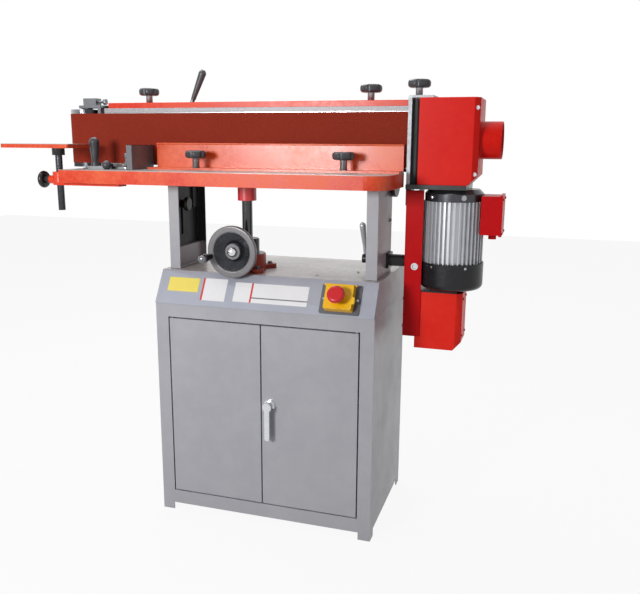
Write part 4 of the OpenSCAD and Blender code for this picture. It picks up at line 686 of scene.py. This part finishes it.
def turned(bm, profile, foot, axis, steps=36):
    # (radius, height) pairs swept round an axis from foot, closed by a point at each end
    axis = Vector(axis).normalized()
    side = axis.orthogonal().normalized()
    across = axis.cross(side)
    turns = [2 * math.pi * i / steps for i in range(steps)]
    rings = []
    for radius, height in profile:
        middle = Vector(foot) + height * axis
        ways = [math.cos(t) * side + math.sin(t) * across for t in turns] if radius else [Vector()]
        rings.append([bm.verts.new(middle + radius * way) for way in ways])
    for low, high in zip(rings, rings[1:]):
        if len(low) == len(high):
            bridge(bm, low, high)
            continue
        for i in range(steps):
            k = (i + 1) % steps
            if len(low) == 1:
                bm.faces.new((low[0], high[i], high[k]))
            else:
                bm.faces.new((low[i], low[k], high[0]))


# bolts and screws: points with a facing and a size, heads set on them by a node tree
def buildHeadTree(name, sides):
    tree, take, give = newGroup(name, [
        ("Points", "NodeSocketGeometry", None), ("Head Height", "NodeSocketFloat", 0.6),
        ("Washer Radius", "NodeSocketFloat", 1.45), ("Washer Height", "NodeSocketFloat", 0.2),
        ("Chamfer", "NodeSocketFloat", 0.14), ("Finish", "NodeSocketMaterial", None)],
        [("Heads", "NodeSocketGeometry")], "GeometryNodeTree")

    def raised(shape, height):
        lift = linked(tree, "ShaderNodeCombineXYZ", {"Z": height})
        return linked(tree, "GeometryNodeTransform", {"Geometry": shape, "Translation": lift})

    washer = put(tree, "GeometryNodeMeshCylinder", None, {"Vertices": 28},
                 {"Radius": take["Washer Radius"], "Depth": take["Washer Height"]}).outputs["Mesh"]
    washer = raised(washer, number(tree, "MULTIPLY", take["Washer Height"], 0.5))
    head = put(tree, "GeometryNodeMeshCylinder", None, {"Vertices": sides, "Radius": 1.0},
               {"Depth": take["Head Height"]}).outputs["Mesh"]
    halfHead = number(tree, "MULTIPLY", take["Head Height"], 0.5)
    head = raised(head, number(tree, "ADD", take["Washer Height"], halfHead))
    crown = put(tree, "GeometryNodeMeshCone", None,
                {"Vertices": sides, "Radius Top": 0.72, "Radius Bottom": 1.0},
                {"Depth": take["Chamfer"]}).outputs["Mesh"]
    crown = raised(crown, number(tree, "ADD", take["Washer Height"], take["Head Height"]))
    joined = tree.nodes.new("GeometryNodeJoinGeometry")
    for shape in (washer, head, crown):
        tree.links.new(shape, joined.inputs[0])
    facing = put(tree, "GeometryNodeInputNamedAttribute", {"data_type": "FLOAT_VECTOR"}, {"Name": "facing"})
    size = put(tree, "GeometryNodeInputNamedAttribute", {"data_type": "FLOAT"}, {"Name": "size"})
    turn = put(tree, "FunctionNodeAlignRotationToVector", {"axis": "Z"}, None,
               {"Vector": facing.outputs["Attribute"]}).outputs["Rotation"]
    onPoints = linked(tree, "GeometryNodeInstanceOnPoints", {
        "Points": take["Points"], "Instance": joined.outputs[0], "Rotation": turn,
        "Scale": size.outputs["Attribute"]})
    finishTree(tree, onPoints, take["Finish"], give["Heads"])
    return tree


def finishTree(tree, instances, finish, result):
    real = linked(tree, "GeometryNodeRealizeInstances", {"Geometry": instances})
    made = put(tree, "GeometryNodeSetMaterial", None, None, {"Geometry": real, "Material": finish})
    tree.links.new(made.outputs["Geometry"], result)


def setHeads(name, tree, places, body, finishName, values):
    points = bpy.data.meshes.new(name + "Points")
    points.from_pydata([place for place, facing, radius in places], [], [])
    points.attributes.new("facing", "FLOAT_VECTOR", "POINT")
    points.attributes.new("size", "FLOAT", "POINT")
    for i, (place, facing, radius) in enumerate(places):
        points.attributes["facing"].data[i].vector = Vector(facing).normalized()
        points.attributes["size"].data[i].value = radius
    fromTree(name, points, tree, values, finishName, body)


hexTree = buildHeadTree("hexHeads", 6)
panTree = buildHeadTree("panHeads", 22)

# where they sit: rows of places with a facing and a head radius
columnLow = corner("motor_column")[0]
hoodLow, hoodHigh = corner("dust_hood")[:2]
lidHigh, lidMid = corner("terminal_box")[1:]
boxHigh = corner("oscillation_box")[1]
backX, backY = (-0.285, -0.1, 0.1, 0.285), (0.2016,)
rows = {
    "leftPost": {"x": (-0.312,), "y": (0.022,), "z": (0.885,), "facing": leftward, "radius": 0.0052},
    "rightPost": {"x": (0.312,), "y": (0.022,), "z": (0.760, 0.885), "facing": rightward, "radius": 0.0052},
    "column": {"x": (columnLow.x + 0.029,), "y": (columnLow.y,), "z": (0.762,), "facing": frontward,
               "radius": 0.0062},
    "columnSide": {"x": (columnLow.x,), "y": (0,), "z": (0.585, 0.665), "facing": leftward, "radius": 0.005},
    "hoodFold": {"x": (0.549,), "y": (hoodLow.y + 0.007,), "z": (1.020, 1.192), "facing": (1, -1, 0),
                 "radius": 0.0052},
    "hoodBack": {"x": (0.415, 0.540), "y": (hoodHigh.y,), "z": (1.020, 1.195), "facing": backward,
                 "radius": 0.0045},
    "lid": {"x": (lidHigh.x,), "y": (lidMid.y - 0.042, lidMid.y + 0.042),
            "z": (lidMid.z - 0.040, lidMid.z + 0.052), "facing": rightward, "radius": 0.0034},
    "box": {"x": (boxHigh.x,), "y": (0.012, 0.076), "z": (0.566, 0.672), "facing": rightward,
            "radius": 0.0036},
    "guard": {"x": (-0.54, -0.32, -0.10, 0.12, 0.33), "y": (0.102,), "z": (1.196,), "facing": backward,
              "radius": 0.0040},
    "back": {"x": backX, "y": backY, "z": (0.078, 0.600), "facing": backward, "radius": 0.0042},
    "backMiddle": {"x": backX[::3], "y": backY, "z": (0.340,), "facing": backward, "radius": 0.0042},
    "consoleLeft": {"x": (0.133,), "y": (-0.103,), "z": (0.735,), "facing": upward, "radius": 0.0040},
    "consoleRight": {"x": (0.231,), "y": (-0.020,), "z": (0.735,), "facing": upward, "radius": 0.0040},
}
circles = {
    "jack": {"axis": (corner("jack_base")[2].x, -0.066), "reach": 0.0700, "z": jackLow.z + 0.012,
             "angles": (45, 135, 225, 315), "facing": upward, "radius": 0.0075},
    "bell": {"axis": (0.490, 0.0365), "reach": 0.0808, "z": 0.957, "angles": (-65, 65, 130, -130),
             "radius": 0.0050},
    "fan": {"axis": (0.490, 0.0365), "reach": 0.0878, "z": 0.766, "angles": (-122, -58, 58, 122),
            "radius": 0.0036},
}
switchRow = {"middle": 0.226, "half": 0.0475, "up": 0.048, "lift": 0.003, "radius": 0.0034}


def inRows(*names):
    return [((x, y, z), rows[name]["facing"], rows[name]["radius"]) for name in names
            for x in rows[name]["x"] for y in rows[name]["y"] for z in rows[name]["z"]]


def inCircle(s):
    # heads face outward unless the circle gives a facing
    made = []
    for angle in s["angles"]:
        out = Vector((math.cos(math.radians(angle)), math.sin(math.radians(angle)), 0))
        place = Vector((*s["axis"], 0)) + s["reach"] * out + Vector((0, 0, s["z"]))
        made.append((place, s.get("facing", out), s["radius"]))
    return made


def onPanel(s):
    return [(panelFoot + Vector((s["middle"] + side * s["half"], 0, 0)) + s["up"] * panelUp
             + s["lift"] * panelOut, panelOut, s["radius"]) for side in (-1, 1)]


flat = {"Head Height": 0.35, "Washer Radius": 1.1, "Washer Height": 0.08, "Chamfer": 0.30}
broad = {"Washer Radius": 1.6, "Head Height": 0.45}
standBolts = inCircle(circles["jack"]) + inRows("leftPost", "rightPost")
standScrews = inRows("back", "backMiddle", "consoleLeft", "consoleRight") + onPanel(switchRow)
coverScrews = inCircle(circles["fan"]) + inRows("guard")
setHeads("standBolts", hexTree, standBolts, "stand", "studSteel", {})
setHeads("standScrews", panTree, standScrews, "stand", "steel", flat)
setHeads("columnBolts", hexTree, inRows("column"), "tilt_frame", "chrome", broad)
setHeads("columnSideBolts", hexTree, inRows("columnSide"), "tilt_frame", "darkSteelAndShade", {})
setHeads("boxScrews", panTree, inRows("box"), "tilt_frame", "deepRed", flat)
setHeads("hoodScrews", panTree, inRows("hoodFold", "hoodBack"), "head", "chrome", flat)
setHeads("motorBolts", hexTree, inCircle(circles["bell"]), "head", "steel", {})
setHeads("coverScrews", panTree, coverScrews, "head", "steel", flat)
setHeads("lidScrews", panTree, inRows("lid"), "head", "deepRed", flat)
print("bolts and screws set")

# blank plates on the slanted panel, with plain bars
plates = {
    "toolPlate": {"x": (-0.294, -0.198), "up": (0.0395, 0.0815), "finish": "labelYellow", "bars": []},
    "dataPlate": {"x": (-0.186, -0.111), "up": (0.0175, 0.0840), "finish": "labelWhite",
                  "bars": [((-0.186, -0.1805), (0.0175, 0.0840), "labelRed")]},
    "widePlate": {"x": (-0.086, 0.133), "up": (0.0205, 0.0780), "finish": "labelWhite",
                  "bars": [((-0.036, -0.031), (0.0205, 0.0780), "labelRed"),
                           ((-0.031, 0.133), (0.0330, 0.0365), "labelGrey")]},
}
plateSheet = {"lift": 0.0, "thick": 0.0007, "corner": 0.002}
barSheet = {"lift": 0.0006, "thick": 0.0003, "corner": 0.0004}


def addPlate(name, across, up, s, finishName):
    bm = bmesh.new()
    spots = roundedSpots(across, up, s["corner"], (0, 30, 60, 90))
    under, over = ([bm.verts.new(panelFoot + Vector((x, 0, 0)) + u * panelUp + level * panelOut)
                    for x, u in spots] for level in (s["lift"], s["lift"] + s["thick"]))
    bm.faces.new(list(reversed(under)))
    bm.faces.new(over)
    bridge(bm, under, over)
    newPiece(name, bm, finishName, "stand")


for name, plate in plates.items():
    addPlate(name, plate["x"], plate["up"], plateSheet, plate["finish"])
    for i, (across, up, finishName) in enumerate(plate["bars"]):
        addPlate(name + "Bar" + str(i), across, up, barSheet, finishName)
print("plates laid on the panel")

# back of the cabinet: a screwed sheet with pressed vents
backPanel = {"x": (-0.302, 0.302), "z": (0.062, 0.616), "face": 0.1998, "thick": 0.0018, "corner": 0.012,
             "straight": 0.6, "drawnIn": 0.9975}
vents = {"columns": (-0.115, 0.115), "low": 0.420, "step": 0.027, "rows": 5, "length": 0.150, "width": 0.011,
         "proud": 0.005, "endWidth": 0.15, "sheet": 0.0009, "sunk": 0.0006, "drop": 0.0005,
         "steps": 14, "ribs": 6}


def addBackPanel(s):
    bm = bmesh.new()
    spots = roundedSpots(s["x"], s["z"], s["corner"], range(0, 91, 15))
    middle = sum(s["z"]) / 2
    levels = ((0, 1), (s["straight"], 1), (1, s["drawnIn"]))
    loops = [[bm.verts.new((x * inset, s["face"] + s["thick"] * share, (z - middle) * inset + middle))
              for x, z in spots] for share, inset in levels]
    bm.faces.new(list(reversed(loops[0])))
    bm.faces.new(loops[-1])
    for low, high in zip(loops, loops[1:]):
        bridge(bm, low, high)
    newPiece("backPanel", bm, "greyPaint", "stand")


def ventShape(s):
    # one hood, open along its lower edge, with round ends
    bm = bmesh.new()
    steps, ribs = s["steps"], s["ribs"]
    outside = []
    for i in range(steps + 1):
        along = -1 + 2 * i / steps
        swell = max(0.0, 1 - abs(along) ** 6) ** 0.5
        width = s["width"] * (s["endWidth"] + (1 - s["endWidth"]) * swell)
        angles = [math.pi / 2 * k / ribs for k in range(ribs + 1)]
        outside.append([bm.verts.new((along * s["length"] / 2, s["proud"] * swell * math.cos(angle),
                                      width * math.sin(angle))) for angle in angles])
    inside = [[bm.verts.new((v.co.x, max(v.co.y - s["sheet"], -s["sunk"]), v.co.z - s["drop"])) for v in row]
              for row in outside]
    for skin, way in ((outside, 1), (inside, -1)):
        for i in range(steps):
            for k in range(ribs):
                quad = (skin[i][k], skin[i + 1][k], skin[i + 1][k + 1], skin[i][k + 1])
                bm.faces.new(quad[::way])
    for k in (0, ribs):
        for i in range(steps):
            bm.faces.new((outside[i][k], outside[i + 1][k], inside[i + 1][k], inside[i][k]))
    for end in (0, steps):
        for k in range(ribs):
            bm.faces.new((outside[end][k], outside[end][k + 1], inside[end][k + 1], inside[end][k]))
    return bpy.data.objects.new("ventHood", meshFrom("ventHood", bm))


def buildVentTree():
    tree, take, give = newGroup("ventRows", [
        ("Start", "NodeSocketGeometry", None), ("Rows", "NodeSocketInt", 1),
        ("Step", "NodeSocketFloat", 0.0), ("Hood", "NodeSocketObject", None),
        ("Finish", "NodeSocketMaterial", None)],
        [("Vents", "NodeSocketGeometry")], "GeometryNodeTree")
    rise = linked(tree, "ShaderNodeCombineXYZ", {"Z": take["Step"]})
    column = put(tree, "GeometryNodeMeshLine", {"mode": "OFFSET"}, None,
                 {"Count": take["Rows"], "Offset": rise}).outputs["Mesh"]
    hood = put(tree, "GeometryNodeObjectInfo", None, None, {"Object": take["Hood"]}).outputs["Geometry"]
    onColumn = linked(tree, "GeometryNodeInstanceOnPoints", {"Points": column, "Instance": hood})
    single = linked(tree, "GeometryNodeRealizeInstances", {"Geometry": onColumn})
    onStart = linked(tree, "GeometryNodeInstanceOnPoints", {"Points": take["Start"], "Instance": single})
    finishTree(tree, onStart, take["Finish"], give["Vents"])
    return tree


def addVents(s, y):
    hood = ventShape(s)
    scene.collection.objects.link(hood)
    start = bpy.data.meshes.new("ventStart")
    start.from_pydata([(x, y, s["low"]) for x in s["columns"]], [], [])
    values = {"Rows": s["rows"], "Step": s["step"], "Hood": hood}
    fromTree("backVents", start, buildVentTree(), values, "greyPaint", "stand")
    bpy.data.objects.remove(hood)


addBackPanel(backPanel)
addVents(vents, backPanel["face"] + backPanel["thick"])
print("back panel and vents set")

# mitre gauge: clamp knob with a ball end, and the stop pin beside the head
handleLow, handleMid = corner("mitre_handle")[::2]
clamp = {"at": (handleMid.x + 0.063, handleMid.y - 0.0155, handleLow.z + 0.0117), "ball": 0.0135,
         "stem": 0.0045, "sunk": 0.010, "reach": 0.020, "neck": 0.9, "from": -54, "turn": 14, "turns": 11}
pin = {"at": (headLow.x + 0.040, handleMid.y, handleLow.z + 0.0158), "radius": 0.0048, "height": 0.030,
       "flange": 1.7, "flangeTop": 0.004, "flangeEdge": 0.005, "neckTop": 0.6, "capFoot": 0.65, "cap": 1.35,
       "capEdge": 0.001, "crown": 1.1}


def addClamp(s):
    bm = bmesh.new()
    profile = [(0, -s["sunk"]), (s["stem"], -s["sunk"]), (s["stem"], s["reach"] - s["ball"] * s["neck"])]
    for step in range(s["turns"]):
        angle = math.radians(s["from"] + step * s["turn"])
        profile.append((s["ball"] * math.cos(angle), s["reach"] + s["ball"] * math.sin(angle)))
    profile.append((0, s["reach"] + s["ball"]))
    turned(bm, profile, s["at"], frontward)
    newPiece("gaugeClamp", bm, "greyPlastic", "mitre_bar")


def addPin(s):
    bm = bmesh.new()
    r, h = s["radius"], s["height"]
    profile = [(0, 0), (r * s["flange"], 0), (r * s["flange"], s["flangeTop"]), (r, s["flangeEdge"]),
               (r, h * s["neckTop"]), (r * s["cap"], h * s["capFoot"]), (r * s["cap"], h - s["capEdge"]),
               (r * s["crown"], h), (0, h)]
    turned(bm, profile, s["at"], upward)
    newPiece("gaugePin", bm, "castGrey", "mitre_head")


addClamp(clamp)
addPin(pin)
print("mitre gauge fitted")

# folded dark sheet in the gap between the end frame's strip and the dust hood: painted shade, standing in
# for the shade inside that gap
shadeSheet = {"left": frameLow.x + 0.001, "bend": hoodLow.x - 0.007, "right": hoodLow.x + 0.005,
          "back": corner("sanding_belt")[0].y - 0.007, "front": hoodLow.y + 0.0040, "thick": 0.0015,
          "foot": frameLow.z + 0.012, "top": hoodHigh.z - 0.003, "round": 0.004, "steps": 6}


def addShield(s):
    bm = bmesh.new()
    start, bend = Vector((s["left"], s["back"])), Vector((s["bend"], s["back"]))
    end = Vector((s["right"], s["front"]))
    before = bend - (bend - start).normalized() * s["round"]
    after = bend + (end - bend).normalized() * s["round"]
    path = [start]
    for step in range(s["steps"] + 1):
        share = step / s["steps"]
        path.append((1 - share) ** 2 * before + 2 * share * (1 - share) * bend + share ** 2 * after)
    path.append(end)
    last = len(path) - 1
    faced = []
    for i, spot in enumerate(path):
        along = (path[min(i + 1, last)] - path[max(i - 1, 0)]).normalized()
        faced.append(spot + s["thick"] * Vector((-along.y, along.x)))
    outline = path + faced[::-1]
    under, over = ([bm.verts.new((x, y, z)) for x, y in outline] for z in (s["foot"], s["top"]))
    bridge(bm, under, over)
    for cap in (under, over):
        for i in range(last):
            bm.faces.new((cap[i], cap[i + 1], cap[-2 - i], cap[-1 - i]))
    newPiece("frameShield", bm, "darkAndPaintedShade", "head")


addShield(shadeSheet)
print("shield between frame and hood set")
